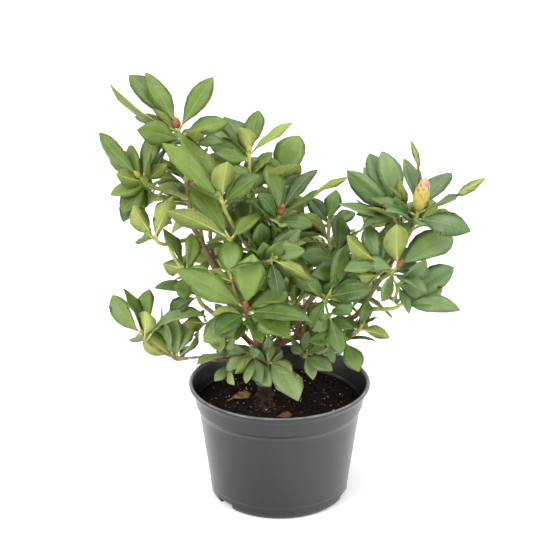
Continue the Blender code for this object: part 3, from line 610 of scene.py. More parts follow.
# %% Masses
# A mass: the limb that its stem meets, how far along, its shoots, and the tint of its leaves
MASSES = {
    "leaves_crest": ("bough_left_top", 1.0, ("crest",), "warm"),
    "leaves_shoulder": ("bough_left_top", 0.75, ("shoulder",), "warm"),
    "leaves_arm": ("bough_left", 0.96, ("arm", "arm_low"), "mid"),
    "leaves_upper_left": ("bough_middle", 0.88, ("yellow", "yellow_low"), "warm"),
    "leaves_top": ("bough_middle", 1.0, ("top", "top_back"), "mid"),
    "leaves_middle": ("bough_middle", 0.94, ("middle", "middle_back"), "mid"),
    "leaves_heart": ("bough_middle", 0.72, ("heart", "heart_right", "heart_front"), "deep"),
    "leaves_face": ("bough_front", 1.0, ("face", "face_top"), "mid"),
    "leaves_foot": ("trunk", 0.38, ("foot_front", "foot_left"), "pale"),
    "leaves_core": ("bough_middle", 0.55, ("core", "core_left"), "deep"),
    "leaves_foot_right": ("bough_right", 0.30, ("foot_right",), "pale"),
    "leaves_right_low": ("bough_right", 0.85, ("hanging", "hanging_right"), "deep"),
    "leaves_waist": ("bough_right_inner", 0.80, ("waist",), "deep"),
    "leaves_right_inner": ("bough_right_inner", 1.0, ("inner", "inner_top"), "deep"),
    "leaves_right_crown": ("bough_right_top", 1.0, ("right_crown", "right_crown_left"), "cool"),
    "leaves_right_front": ("bough_right_top", 0.80, ("right_front", "right_front_left"), "cool"),
    "leaves_right_tip": ("bough_right_top", 0.40, ("right_tip",), "cool"),
    "leaves_low_left": ("bough_rim", 1.0, ("low_left", "low_left_tip"), "pale"),
    "leaves_rim": ("bough_rim", 0.40, ("rim",), "pale"),
    "leaves_left_low": ("bough_left_low", 1.0, ("left_low",), "mid"),
    "leaves_rear_left": ("bough_back_left", 1.0, ("rear_left", "rear_arm"), "mid"),
    "leaves_rear_crest": ("bough_left", 0.90, ("rear_crest",), "warm"),
    "leaves_rear_top": ("bough_back", 1.0, ("rear_top", "rear_high"), "deep"),
    "leaves_rear_mid": ("bough_back", 0.80, ("rear_mid",), "mid"),
    "leaves_rear_low_left": ("bough_back", 0.60, ("rear_low_left",), "mid"),
    "leaves_rear_right": ("bough_back_right", 1.0, ("rear_right", "rear_inner"), "cool"),
    "leaves_rear_low": ("bough_back_right", 0.75, ("rear_low", "rear_low_right"), "deep"),
}
print(len(MASSES), "masses of leaves")

# %% Shoots and flower buds
# How a leaf is turned: b behind the shoot, its upper side to us; d in front and drooping; s on edge;
# u folded up so that its pale underside shows; a capital letter is a broad leaf. A shoot with no words
# carries a plain whorl.
SHOOTS = {
    "crest": ((-0.122, 0.000, 0.484),
        "10.74/86b 11.02/80b 1.02/77b 10.24/98s 9.76/61b 2.35/62b 10.77/49u 2.61/25u 9.39/53d 8.52/27u"),
    "shoulder": ((-0.166, -0.030, 0.431),
        "10.57/77b 11.13/47b 0.51/65b 1.03/52b 1.78/34u 9.52/36u 7.31/46D 6.07/28d 8.5/48d"),
    "arm": ((-0.151, -0.060, 0.366), "10.96/44U 0.85/55u"),
    "arm_low": ((-0.112, -0.055, 0.320), "0.3/49b 11.11/59s 3.2/36d"),
    "yellow": ((-0.069, -0.050, 0.410), "0.33/45U 10.53/97u 10.97/100b 1.8/56u 1.2/50b"),
    "yellow_low": ((-0.060, -0.060, 0.365), "9.79/82u 10.8/84b 1.6/50b"),
    "top": ((-0.037, 0.020, 0.447), "0.39/57b 1.78/68s 11.44/37U 11.09/63B 9.81/56b 9.4/44d"),
    "top_back": ((-0.054, 0.060, 0.410), "11.2/70b 0.5/64b 10.0/50b"),
    "middle": ((0.000, -0.020, 0.381), "11.55/67b 1.27/78b 2.01/98s 0.13/41b 10.8/40d 3.2/44d"),
    "middle_back": ((-0.003, 0.040, 0.395), "0.73/76B 1.4/43u 11.52/46u"),
    "heart": ((-0.036, -0.030, 0.351), "0.25/68s 11.6/55b 9.7/48d 1.6/44b"),
    "heart_right": ((-0.018, -0.050, 0.345), "2.6/53s 3.0/50d 11.8/45b"),
    "heart_front": ((-0.009, -0.070, 0.342), "3.9/60u 8.6/50d 5.6/46d"),
    "face": ((-0.040, -0.090, 0.288),
        "0.25/66B 9.98/96d 2.25/56b 3.2/80d 3.99/61D 7.92/44D 7.96/62D 9.19/43u"),
    "face_top": ((-0.057, -0.075, 0.318), "11.92/52B 9.65/38u 1.8/46b"),
    "foot_left": ((-0.031, -0.050, 0.210), "7.57/33u 5.49/34D 6.67/34d"),
    "foot_front": ((-0.014, -0.058, 0.206), "4.74/61D 3.86/33D"),
    "foot_right": ((0.032, -0.050, 0.209), "9.99/21B 5.36/31d 3.96/38d 2.22/37s"),
    "hanging": ((0.080, -0.040, 0.225), "5.2/43d 2.99/42s 1.2/34b 8.9/42d"),
    "hanging_right": ((0.099, -0.050, 0.246), "0.5/36b 3.5/38u 9.5/46b 1.88/32s"),
    "waist": ((0.059, -0.060, 0.292), "0.7/66b 2.05/45b 2.66/54d 3.58/18u 10.3/56b 11.4/40b 7.02/39d"),
    "inner": ((0.072, 0.000, 0.319), "0.1/56b 9.7/44b 9.2/46d 1.4/42b"),
    "inner_top": ((0.062, 0.040, 0.349), "0.4/46b 10.8/44b 2.0/40b"),
    "right_crown": ((0.168, -0.010, 0.385),
        "11.8/86s 11.55/68b 1.35/74b 1.96/91s 9.73/64b 4.41/18d 3.52/66d 7.6/46d"),
    "right_crown_left": ((0.148, 0.020, 0.372),
        "11.51/82b 11.24/86B 10.29/87s 9.07/54s 8.44/56d 11.98/54u 10.95/84b 7.91/24d"),
    "right_front": ((0.142, -0.050, 0.325), "11.89/53U 2.06/83B 3.06/42s 9.6/44b"),
    "right_front_left": ((0.119, -0.040, 0.326), "10.28/54u 11.54/52b 8.8/46d"),
    "right_tip": ((0.150, -0.060, 0.283), "1.87/78b 2.3/56b 3.14/70d 1/34b"),
    "low_left": ((-0.133, -0.040, 0.202), "10.42/49U 11.47/68b 0.75/57b 1.21/50s 11.73/57b"),
    "low_left_tip": ((-0.168, -0.050, 0.236), "10.74/64b 11.16/65s 0.17/34U 0.13/63b 2.31/81s"),
    "left_low": ((-0.102, -0.030, 0.287), "9.16/53s 9.51/28D 11.2/44b 2.0/40b 7.97/42b"),
    "rim": ((-0.060, -0.044, 0.206), "8.65/43d 10.4/40b"),
    "core": ((-0.004, 0.030, 0.330), ""),
    "core_left": ((-0.066, 0.030, 0.330), ""),
    "rear_left": ((-0.083, 0.100, 0.340), ""),
    "rear_arm": ((-0.118, 0.075, 0.372), ""),
    "rear_crest": ((-0.110, 0.060, 0.400), ""),
    "rear_top": ((-0.038, 0.120, 0.374), ""),
    "rear_high": ((-0.023, 0.150, 0.330), ""),
    "rear_mid": ((0.007, 0.120, 0.298), ""),
    "rear_low_left": ((-0.072, 0.120, 0.260), ""),
    "rear_right": ((0.120, 0.100, 0.305), ""),
    "rear_inner": ((0.066, 0.120, 0.278), ""),
    "rear_low": ((0.018, 0.140, 0.214), ""),
    "rear_low_right": ((0.094, 0.120, 0.231), ""),
}

# The flower buds: length and radius
BUDS = {
    "right_crown": (0.041, 0.0100),
    "crest": (0.013, 0.0054),
    "middle": (0.015, 0.0050),
    "right_front": (0.013, 0.0048),
    "face": (0.012, 0.0045),
    "shoulder": (0.011, 0.0040),
    "top": (0.011, 0.0040),
}
print(len(SHOOTS), "shoots and", len(BUDS), "flower buds")

# %% [markdown]
# ## Limbs and twigs
# First the trunk and the boughs, then each mass's stem and the twigs that leave it for the other
# shoots. The draws come in the source's order, so every twig finds the same way as in the frame.

# %% Grow limbs and twigs
# First and last radii of twigs
STEM_RADII, TWIG_RADII = (0.0026, 0.0019), (0.0022, 0.0018)

# Rings and sides of the trunk and of a bough, the clear step past a parent's tip in gaps, and how far a
# twig swings aside as a share of its length
TRUNK_RINGS, TRUNK_SIDES, BOUGH_RINGS, BOUGH_SIDES = 9, 9, 10, 6
PAST_TIP, SWING = 1.2, 0.03
STEM_TRIES, TWIG_TRIES, TWIG_SHARES = 30, 12, (0.2, 0.6)

# Where the crown's middle is across, how much a shoot leans away from it, and past where it leans less
CROWN_MIDDLE, LEAN, RISES, FARTHEST, FARTHEST_LEAN = -0.02, 2.6, 0.8, 0.16, 0.3


def grow_limbs(space):
    """The trunk, then each bough from its parent's tip or side."""
    line = curve([place for place, radius in TRUNK], TRUNK_RINGS)
    given = [radius for place, radius in TRUNK]
    radii = np.interp(np.arange(TRUNK_RINGS) / 2, range(len(given)), given)
    limbs = {"trunk": (line, radii, TRUNK_SIDES, np.array((0.0, 0.0, 1.0)))}
    space.add("trunk", "limb", solid(tube(limbs["trunk"])))
    for name, (parent, share, way, foot, tip) in BOUGHS.items():
        line = limbs[parent][0]
        start, radii = point_on(line, share), np.linspace(foot, tip, BOUGH_RINGS)
        if share < 1.0:
            limb = clear_start((curve((start,) + way, BOUGH_RINGS), radii, BOUGH_SIDES, None), space)
        else:
            ahead = unit(line[-1] - line[-2])
            start = start + ahead * GAP * PAST_TIP
            on = start + ahead * np.linalg.norm(way[0] - start) * 0.35
            limb = (curve((start, on) + way, BOUGH_RINGS), radii, BOUGH_SIDES, ahead)
        limbs[name] = limb
        space.add(name, "limb", solid(tube(limb)))
    return limbs


def shake(rng):
    """Three numbers from -1 to 1."""
    return np.array([rng.uniform(-1, 1) for k in range(3)])


def swing(rng, start, tip, tries):
    """How far a twig is bent aside: not at all at the first try, and then more at each."""
    return shake(rng) * np.linalg.norm(tip - start) * SWING * tries ** 0.7


def shoot_axis(tip):
    """A shoot leans out from the middle of the crown; the farthest one has turned upright."""
    lean = FARTHEST_LEAN if tip[0] > FARTHEST else LEAN
    return unit(np.array((lean * (tip[0] - CROWN_MIDDLE), lean * tip[1], RISES)))


def route(name, start, ahead, tip, axis, radii, head, space, rng, attempts=40):
    """A twig to a shoot's tip, bent a little more at each try until it is clear."""
    for tries in range(attempts):
        limb = twig_limb(start, ahead, tip, axis, swing(rng, start, tip, tries), radii, head)
        hits = space.touched(solid(tube(limb))) if head is not None else \
            space.touched(solid(tube(limb, GAP)), name, ("twig",))
        if not hits:
            return limb
    return None


def grow_twigs(limbs, space):
    """Each mass's stem from its limb to the first shoot, and twigs from the stem to the others. The
    masses at the tip of a limb come first."""
    twigs = {}
    for name, (parent, share, shoots, tint) in sorted(MASSES.items(), key=lambda row: row[1][1] < 1.0):
        rng = random.Random("twigs of " + name)
        line = limbs[parent][0]
        first_tip = np.array(SHOOTS[shoots[0]][0])
        start, ahead = point_on(line, share), heading(line, share)
        axis = shoot_axis(first_tip)
        if share < 1.0:
            ahead = unit(ahead * 0.35 + unit(first_tip - start))
            for tries in range(STEM_TRIES):
                aside = swing(rng, start, first_tip, tries)
                stem = clear_start(twig_limb(start, ahead, first_tip, axis, aside, STEM_RADII), space)
                if stem:
                    break
        else:
            ahead = unit(line[-1] - line[-2])
            start = start + ahead * GAP * PAST_TIP
            stem = route(name, start, ahead, first_tip, axis, STEM_RADII, ahead, space, rng)
        if stem is None:
            print("no clear stem for", name)
            continue
        space.add(name, "twig", solid(tube(stem)))
        twigs[name] = [(shoots[0], stem)]
        for shoot in shoots[1:]:
            tip = np.array(SHOOTS[shoot][0])
            for tries in range(TWIG_TRIES):
                share_up = rng.uniform(*TWIG_SHARES)
                foot, ahead = point_on(stem[0], share_up), heading(stem[0], share_up)
                twig = route(name, foot, ahead, tip, shoot_axis(tip), TWIG_RADII, None, space, rng)
                if twig:
                    break
            if twig is None:
                print("no clear twig for", shoot)
                continue
            space.add(name, "twig", solid(tube(twig)))
            twigs[name].append((shoot, twig))
    return twigs


space = Space()
limbs = grow_limbs(space)
twigs = grow_twigs(limbs, space)
every_shoot = [(name, shoot, twig[0], unit(twig[0][-1] - twig[0][-2]))
               for name, rows in twigs.items() for shoot, twig in rows]
print(len(limbs), "limbs and", len(every_shoot), "shoots")

# %% [markdown]
# ## Whorls
# A shoot carries its leaves close together under its tip. In front they point as the photograph
# shows, and behind and at the back they stand round the shoot at the golden angle, as leaves do.

# %% Grow the leaves of the frame
# The clock face that the hours are read on is tipped as the front view looks down
ACROSS = np.array((1.0, 0.0, 0.0))
RISE = np.array((0.0, math.sin(CAMERA_DIP), math.cos(CAMERA_DIP)))
NEAR = np.array((0.0, -math.cos(CAMERA_DIP), math.sin(CAMERA_DIP)))

# Degrees by which a leaf of each kind comes forward of the clock face, and is rolled from facing us
FORWARD = {"b": -15, "s": 6, "d": 28, "u": 24}
ROLL = {"b": 28, "s": 66, "d": 30, "u": 150}

# A read-off millimetre, the step between leaf stalks along a twig, and a leaf's half width as a share
# of its length, which grows as the leaf is shorter than a long one, and more for a broad leaf
MM = 0.00098
LEAF_SPACING = 0.0021
HALF_WIDTH, LONG_LEAF, BROADER, MOST_BROADER, BROAD = 0.20, 0.078, 2.0, 0.028, 1.3
GOLDEN_ANGLE = math.radians(137.5)

# How far from the tip the first leaf stands; the range of its width; the ranges in degrees of its bend,
# folded up or not, and of its fold; and the share of it that may lie against its own twig
FIRST_LEAF, UNEVEN, PAST_STALK = 0.0010, (0.92, 1.08), 0.15
BENDS_FOLDED, BENDS, FOLDS = (12, 28), (18, 42), (4, 16)

# Behind a seen whorl: the leaves' degrees from twelve. At the back: how many leaves a whorl has
REAR_DEGREES, REAR_WHORL = (-60, 45), 7


def clock(turn):
    """The direction on the clock face at an angle from twelve."""
    return math.sin(turn) * ACROSS + math.cos(turn) * RISE


def seen_directions(text):
    """The leaves read off the front view, as kind, hour and length."""
    words = [word.split("/") for word in text.split()]
    return [(rest[-1], float(hour), float(rest[:-1]) * MM) for hour, rest in words]


def rear_directions(axis, seen, rng):
    """Behind a shoot with seen leaves, two that point away; at the back, a whole whorl."""
    rows = []
    if seen:
        mean = sum(length for kind, hour, length in seen) / len(seen)
        for degrees in REAR_DEGREES:
            turn = math.radians(degrees + rng.uniform(-25, 25))
            away = math.radians(rng.uniform(48, 72))
            way = math.cos(away) * clock(turn) - math.sin(away) * NEAR
            rows.append(("w", way, mean * rng.uniform(0.8, 1.15)))
        return rows
    for i in range(REAR_WHORL):
        turn = GOLDEN_ANGLE * i + rng.uniform(0, 0.6)
        lean = rng.uniform(0.70, 1.15) + 0.05 * i
        rows.append(("w", around(axis, turn, lean), rng.uniform(0.054, 0.076)))
    return rows


def leaf_pose(kind, way, axis, rng, spread, turned_over):
    """The direction of a leaf and of its upper face, and how much longer it is than it looks. The angles
    are drawn from a few degrees round those read off, and after the first try from a wider range."""
    if kind == "w":
        chord = unit(way + 0.25 * spread * shake(rng))
        return chord, unit(axis - axis @ chord * chord), 1.0
    lift = math.radians(FORWARD[kind.lower()] + rng.uniform(-6, 6) + spread * rng.uniform(-16, 16))
    turn = math.radians(30 * (way + spread * rng.uniform(-0.12, 0.12)))
    chord = math.cos(lift) * clock(turn) + math.sin(lift) * NEAR
    toward = unit(NEAR - NEAR @ chord * chord)
    sideways = np.cross(chord, toward)
    roll = math.radians(ROLL[kind.lower()] + rng.uniform(-12, 12) + spread * rng.uniform(-12, 12))
    pair = [math.cos(roll) * toward + hand * math.sin(roll) * sideways for hand in (-1, 1)]
    pair.sort(key=lambda face: face @ (axis - axis @ chord * chord), reverse=not turned_over)
    return chord, pair[0], 1 / math.cos(lift)


def place_leaves(rows, name, line, axis, first, space, rng, tint, attempts=10):
    """Each leaf takes the first of some poses that is clear of all else, or is left out."""
    grown = []
    for i, (kind, way, length) in enumerate(rows):
        chosen = None
        for tries in range(attempts):
            chord, face, longer = leaf_pose(kind, way, axis, rng, float(tries > 0), tries % 4 == 3)
            real = length * longer
            broad = BROAD if kind.isupper() else 1.0
            share = broad * (HALF_WIDTH + BROADER * min(max(LONG_LEAF - real, 0.0), MOST_BROADER))
            leaf = {
                "root": back_along(line, FIRST_LEAF + LEAF_SPACING * (first + i)), "chord": chord,
                "face": face, "length": real, "half": real * share * rng.uniform(*UNEVEN),
                "bend": math.radians(rng.uniform(*(BENDS_FOLDED if kind in "uU" else BENDS))),
                "fold": math.radians(rng.uniform(*FOLDS)), "kind": kind, "mass": name, "tint": tint,
                "hour": None if kind == "w" else way,
            }
            if space.touched(coarse_leaf(leaf, GAP), name, ("leaf", "twig", "bud")):
                continue
            if not [hit for hit in space.touched(coarse_leaf(leaf, GAP, PAST_STALK)) if hit[0] == name]:
                chosen = leaf
                break
            chosen = chosen or leaf
        if chosen:
            space.add(name, "leaf", coarse_leaf(chosen))
            grown.append(chosen)
    return grown


def bud_rings(tip, axis, length, radius):
    """The source's bud: a short limb, widest at a third of its length."""
    shares = ((-0.05, 0.50), (0.34, 1.0), (0.72, 0.66), (1.0, 0.14))
    line = np.array([tip + axis * length * share for share, wide in shares])
    return tube((line, [radius * wide for share, wide in shares], 5, None))


leaves = []
for name, shoot, line, axis in every_shoot:
    if shoot in BUDS:
        space.add(name, "bud", solid(bud_rings(np.array(SHOOTS[shoot][0]), axis, *BUDS[shoot])))
for front in (True, False):
    for name, shoot, line, axis in every_shoot:
        rng = random.Random(f"{shoot} {front}")
        seen = seen_directions(SHOOTS[shoot][1])
        whorl, first = (seen, 0) if front else (rear_directions(axis, seen, rng), len(seen))
        leaves += place_leaves(whorl, name, line, axis, first, space, rng, MASSES[name][3])
print(len(leaves), "leaves stand as in the frame")

# %% [markdown]
# ## Finer growth
# The frame's masses are a plain sketch of the crown. Here the same rule is carried on: side twigs below
# each whorl bear small whorls of their own, a few lower leaves hang on along the twig, and every shoot
# without a flower bud may end in young leaves that still stand upright. Some shoots stay bare of these,
# some have further leaves that the photograph shows, and low on the boughs sit small sprays.

# %% Grow side twigs, sprays, lower leaves and young leaves
BARE = {"low_left", "low_left_tip", "rim", "foot_front", "foot_left", "foot_right", "hanging",
        "hanging_right", "arm", "arm_low", "rear_arm", "right_tip", "left_low", "yellow", "yellow_low",
        "face_top"}
FURTHER = {
    "foot_left": "5.0/35D 10.3/32b",
    "foot_front": "1.7/26b 10.7/31b 0.4/29b",
    "foot_right": "10.9/26b 0.5/30b 1.6/34b",
    "right_front": "6.7/39d",
    "right_crown_left": "9.7/84s",
    "shoulder": "10.2/72b",
    "hanging_right": "0.8/58b",
    "hanging": "9.4/28b 7.8/27d",
    "face": "6.9/31d 5.0/35d",
}
LOW_SPRAYS = {"bough_left": 2, "bough_left_low": 3, "bough_middle": 3, "bough_front": 5, "bough_right": 7,
              "bough_back": 2, "bough_back_right": 2, "bough_rim": 1}

# How a side twig and a low spray grow: tries, and the ranges for the share of the way along the limb,
# the lean from it, the twig's length and its leaves' length; last, how much it turns upright
SIDE_RULE = (14, (0.35, 0.85), (0.6, 1.1), (0.016, 0.030), (0.034, 0.054), 0.5)
SPRAY_RULE = (16, (0.08, 0.62), (0.7, 1.2), (0.014, 0.026), (0.024, 0.040), 0.4)
SIDE_RADII, SPRAY_RADII = (0.0015, 0.0011), (0.0014, 0.0010)
LEAF_ROOM, ABOVE_SOIL, SHORTEST_SPRAY = 0.04, 0.150, 0.008
side_twigs = []


def inside_box(point):
    """True if a point is inside the CAD model's box."""
    return all(low < x < high for low, x, high in zip(CAD_BOX[0], point, CAD_BOX[1]))


def kept_inside(found):
    """The leaves whose tips are inside that box."""
    return [leaf for leaf in found if inside_box(leaf["root"] + leaf["chord"] * leaf["length"])]


def plain_whorl(count, axis, turn, leans, sizes, rng):
    """Leaves round an axis at the golden angle."""
    return [("w", around(axis, GOLDEN_ANGLE * i + turn, rng.uniform(*leans)), rng.uniform(*sizes))
            for i in range(count)]


def side_twig(name, rng, start, ahead, tip, axis):
    """A side twig, if it is clear and its leaves have room in the CAD model's box."""
    small = route(name, start, ahead, tip, axis, SIDE_RADII, None, space, rng, 2)
    return small if small is not None and inside_box(tip + LEAF_ROOM * axis) else None


def spray_twig(name, rng, start, ahead, tip, axis):
    """A twig cut back to the bark of its bough, if enough of it is left, above the soil."""
    small = clear_start(twig_limb(start, ahead, tip, axis, 0, SPRAY_RADII), space)
    if small is None or tip[2] < ABOVE_SOIL or np.linalg.norm(small[0][-1] - small[0][0]) < SHORTEST_SPRAY:
        return None
    return small


def side_growth(name, line, rng, tint, rule, grow):
    """A small twig with a whorl of its own on a line: the first of some that is clear, or nothing."""
    attempts, shares, leans, lengths, sizes, upright = rule
    turn = rng.uniform(0, 6.3)
    for tries in range(attempts):
        share = rng.uniform(*shares)
        start, ahead = point_on(line, share), heading(line, share)
        way = around(ahead, turn + tries * GOLDEN_ANGLE, rng.uniform(*leans))
        tip = start + way * rng.uniform(*lengths)
        twig_end = unit(way + upright * shoot_axis(tip))
        small = grow(name, rng, start, unit(ahead + way), tip, twig_end)
        if small is not None:
            space.add(name, "twig", solid(tube(small)))
            side_twigs.append((name, small))
            whorl = plain_whorl(4, twig_end, turn, (0.5, 1.2), sizes, rng)
            return place_leaves(whorl, name, small[0], twig_end, 0, space, rng, tint, 6)
    return []


for name, shoot, line, axis in every_shoot:
    rng, tint, words = random.Random("finer growth of " + shoot), MASSES[name][3], SHOOTS[shoot][1]
    for k in range(0 if shoot in BARE else 1 if words else 2):
        leaves += kept_inside(side_growth(name, line, rng, tint, SIDE_RULE, side_twig))
    lower = [("w", around(heading(line, 0.6), rng.uniform(0, 6.3), rng.uniform(0.8, 1.4)),
              rng.uniform(0.036, 0.060)) for k in range(0 if shoot in BARE else 3)]
    further = seen_directions(FURTHER.get(shoot, ""))
    leaves += place_leaves(further, name, line, axis, len(words.split()) + 2, space, rng, tint)
    leaves += kept_inside(place_leaves(lower, name, line[:-1], axis, 2, space, rng, tint, 8))
    if shoot not in BUDS and rng.random() < 0.5:
        young = plain_whorl(2, axis, 0, (0.15, 0.40), (0.010, 0.017), rng)
        leaves += place_leaves(young, name, line, axis, -0.4, space, rng, "young", 4)
for bough, count in LOW_SPRAYS.items():
    rng = random.Random("low sprays of " + bough)
    for k in range(count):
        leaves += side_growth("leaves_foot", limbs[bough][0], rng, "pale", SPRAY_RULE, spray_twig)
print(len(leaves), "leaves and", len(side_twigs), "side twigs in all")

# %% [markdown]
# ## Leaf finishes
# The upper skin is a waxy green with a soft gloss, paler along the side veins. The lower skin is dull
# and yellow-green, with stronger veins; its yellow-green is partly the leaf's own pale underside and
# partly painted light, made brighter to stand in for light that shines through the leaf. Both read two
# maps that travel with the leaf: how far from the midrib a point is and how far along. Each leaf also
# has a shade of its own. The tints are dealt out by mass: warm green on the left, mid green in the
# middle, bluish green on the right.

# %% Leaf finishes
VEINS, VEIN_SLANT, VEIN_FROM = 13.0, 2.2, 0.30
MARGIN_FROM, MARGIN_PALE = 0.88, 0.45


def leaf_finish(name, light, dark, roughness, vein, relief, rim=None):
    """Green between two tones by each leaf's shade and by blotches, with a thin pale line at the margin
    and faint side veins that slant up and out from the midrib: they lie where thirteen times the way
    along, less about twice the way out, is a whole number."""
    finish = Finish(name, light, roughness)
    across, along = finish.stored("across"), finish.stored("along")
    slant = finish.math("MULTIPLY", across, VEIN_SLANT)
    run = finish.math("SUBTRACT", finish.math("MULTIPLY", along, VEINS), slant)
    line = finish.math("ABSOLUTE", finish.math("SUBTRACT", finish.math("FRACT", run), 0.5))
    line = finish.span(line, VEIN_FROM, 0.50, interpolation="SMOOTHSTEP")
    margin = finish.span(across, MARGIN_FROM, 1.0, 0.0, MARGIN_PALE)
    blotch = finish.noise(70.0, 2.0)
    mix = finish.math("ADD", finish.math("MULTIPLY", finish.stored("shade"), 0.8),
                      finish.math("MULTIPLY", finish.math("SUBTRACT", blotch, 0.4), 0.8))
    body = finish.ramp(mix, ((0.05, dark), (0.95, light)))
    pale = tuple(min(1.0, 1.35 * x + 0.02) for x in light)
    body = finish.blend(finish.math("MULTIPLY", line, vein), body, pale)
    finish.colour(finish.blend(margin, body, rim or pale))
    uneven = finish.math("ADD", finish.math("MULTIPLY", finish.noise(420.0), 0.25),
                         finish.math("MULTIPLY", finish.noise(110.0, 2.0), 4.0))
    finish.bump(finish.math("ADD", finish.math("MULTIPLY", line, -0.6), uneven), 1.0, relief)
    return finish.material


rib_above = Finish("rib_above", tone(118, 142, 68), 0.50)
rib_below = mottled("rib_below", (190, 196, 122), 0.50, 60.0, {0.3: (170, 178, 98), 0.7: (204, 208, 136)})
# The lower skin's pale yellow-green is partly its own colour and partly painted light: brighter, as if lit
# through the leaf
underside = leaf_finish("leaf_underside", tone(160, 171, 88), tone(114, 130, 52), 0.58, 0.14, 0.00022)
TINTS = {
    "warm": leaf_finish("leaf_warm", tone(112, 136, 50), tone(56, 80, 26), 0.42, 0.10, 0.00016),
    "mid": leaf_finish("leaf_mid", tone(118, 144, 60), tone(60, 86, 34), 0.40, 0.09, 0.00016),
    "deep": leaf_finish("leaf_deep", tone(108, 136, 60), tone(54, 78, 32), 0.40, 0.08, 0.00016),
    "cool": leaf_finish("leaf_cool", tone(121, 147, 86), tone(68, 96, 52), 0.38, 0.08, 0.00016),
    "pale": leaf_finish("leaf_pale", tone(136, 155, 96), tone(92, 117, 66), 0.42, 0.12, 0.00018,
                        tone(116, 96, 62)),
    "young": leaf_finish("leaf_young", tone(168, 184, 92), tone(128, 152, 64), 0.42, 0.08, 0.00015),
}
print(len(TINTS), "tints of leaves")

# %% [markdown]
# ## Leaves
# Some leaves have a look of their own in the photograph, such as one seen on edge or one whose end turns
# over. Those are noted one by one, and each note turns the leaf that has its hour.

# %% Notes on single leaves
# What the photograph shows of single leaves, by mass: each note begins with the leaf's hour. roll is how
# many degrees the face is turned from facing us, lift how far the leaf comes forward, to the hour that
# it then points to, bend its arc and end how far its end turns over, in radians; wide and longer scale
# it, and shade and tint are its colour. On the low left leaves the high shades are also painted light:
# they lighten leaves that face down, away from the lamps.
NOTES = {
    "leaves_crest": "10.24 roll=-74 bend=0.5 wide=0.55 | 10.77 wide=0.6 shade=0.1 lift=12 to=10.5 |"
                    "10.74 roll=20 lift=-19 to=10.62 shade=0.35 longer=1.10 |"
                    "11.02 roll=24 lift=-10 to=11.02 shade=0.6 wide=0.85 longer=1.04 |"
                    "1.02 roll=8 shade=0.6 wide=0.85 longer=1.06 | 2.61 lift=24 to=4.4 wide=0.8",
    "leaves_shoulder": "10.57 wide=0.82",
    "leaves_rim": "8.65 roll=68",
    "leaves_top": "1.78 roll=50 wide=0.6 tint=young shade=0",
    "leaves_upper_left": "10.53 roll=25 shade=1 wide=0.8 | 9.79 shade=0.2 | 1.8 roll=40 shade=0.3",
    # Painted light: the high shades here lighten low leaves that face down, away from the lamps
    "leaves_low_left": "10.42 roll=150 shade=1 | 10.74 tint=mid shade=0.7 | 11.16 tint=mid shade=0.5 |"
                       "0.13 tint=mid shade=0.7 | 11.47 shade=1 | 0.75 shade=1 | 1.21 shade=0.9 |"
                       "11.73 shade=0.8 | 0.17 roll=158 shade=1 | 2.31 roll=66 bend=1.5",
    "leaves_heart": "8.6 roll=80 bend=0.1",
    "leaves_face": "0.25 roll=16 lift=6 shade=1",
    "leaves_middle": "2.01 roll=56 bend=0.25 end=1.5 wide=0.45 shade=0.2 | 0.73 roll=14 |"
                     "1.27 roll=40 shade=0 wide=0.75 tint=deep | 0.13 lift=-50 shade=0 tint=deep",
    "leaves_right_crown": "10.29 roll=38 | 1.35 roll=40 shade=0.2 wide=0.85 | 3.52 shade=0.2 |"
                          "10.95 wide=0.75 | 11.8 roll=50 end=1.7 wide=0.34 shade=0.3 |"
                          "1.96 roll=56 bend=0.15 end=1.7 wide=0.42",
    "leaves_right_front": "11.89 wide=0.82",
}


def read_notes(text):
    """{hour: {word: value}} from notes with a bar between them."""
    notes = {}
    for note in text.split("|"):
        hour, *words = note.split()
        pairs = [word.split("=") for word in words]
        notes[float(hour)] = {key: value if key == "tint" else float(value) for key, value in pairs}
    return notes


def pose_as_seen(leaf, roll=None, lift=None, bend=None, end=0.0, shade=None, tint=None, wide=1.0,
                 longer=1.0, to=None):
    """Turns a leaf to the angles that were read off, keeping how long it looks; an end that turns over
    rolls on the same way as the leaf does."""
    if lift is not None:
        flat = unit(leaf["chord"] - leaf["chord"] @ NEAR * NEAR)
        looks = leaf["length"] * (leaf["chord"] @ flat)
        flat = flat if to is None else clock(math.radians(30 * to))
        leaf["length"] = looks / math.cos(math.radians(lift))
        leaf["chord"] = math.cos(math.radians(lift)) * flat + math.sin(math.radians(lift)) * NEAR
    toward = unit(NEAR - NEAR @ leaf["chord"] * leaf["chord"])
    sideways = np.cross(leaf["chord"], toward)
    hand = 1 if leaf["face"] @ sideways > 0 else -1
    if roll is not None:
        turn = hand * math.radians(roll)
        leaf["face"] = math.cos(turn) * toward + math.sin(turn) * sideways
        leaf["twist"] = 0.1
    leaf["turned_end"] = hand * end
    leaf["half"] *= wide
    leaf["length"] *= longer
    leaf["bend"] = bend or leaf["bend"]
    leaf["shade"] = leaf["shade"] if shade is None else shade
    leaf["tint"] = tint or leaf["tint"]


seen_more = {mass: read_notes(text) for mass, text in NOTES.items()}
print(sum(len(notes) for notes in seen_more.values()), "leaves have a note")

# %% [markdown]
# Every leaf then gets its own twist, shade, curl and waves by chance. All leaves of a tint are one mesh.
# Every leaf has 80 faces, so some hundreds of them are still light.

# %% Leaves
# How many leaves twist and curl, how much less a leaf curls that was read off, and how much wider a leaf
# is than in the frame
TWISTED, CURLED, FLATTER, WIDER = 0.16, 0.7, 0.4, 1.05

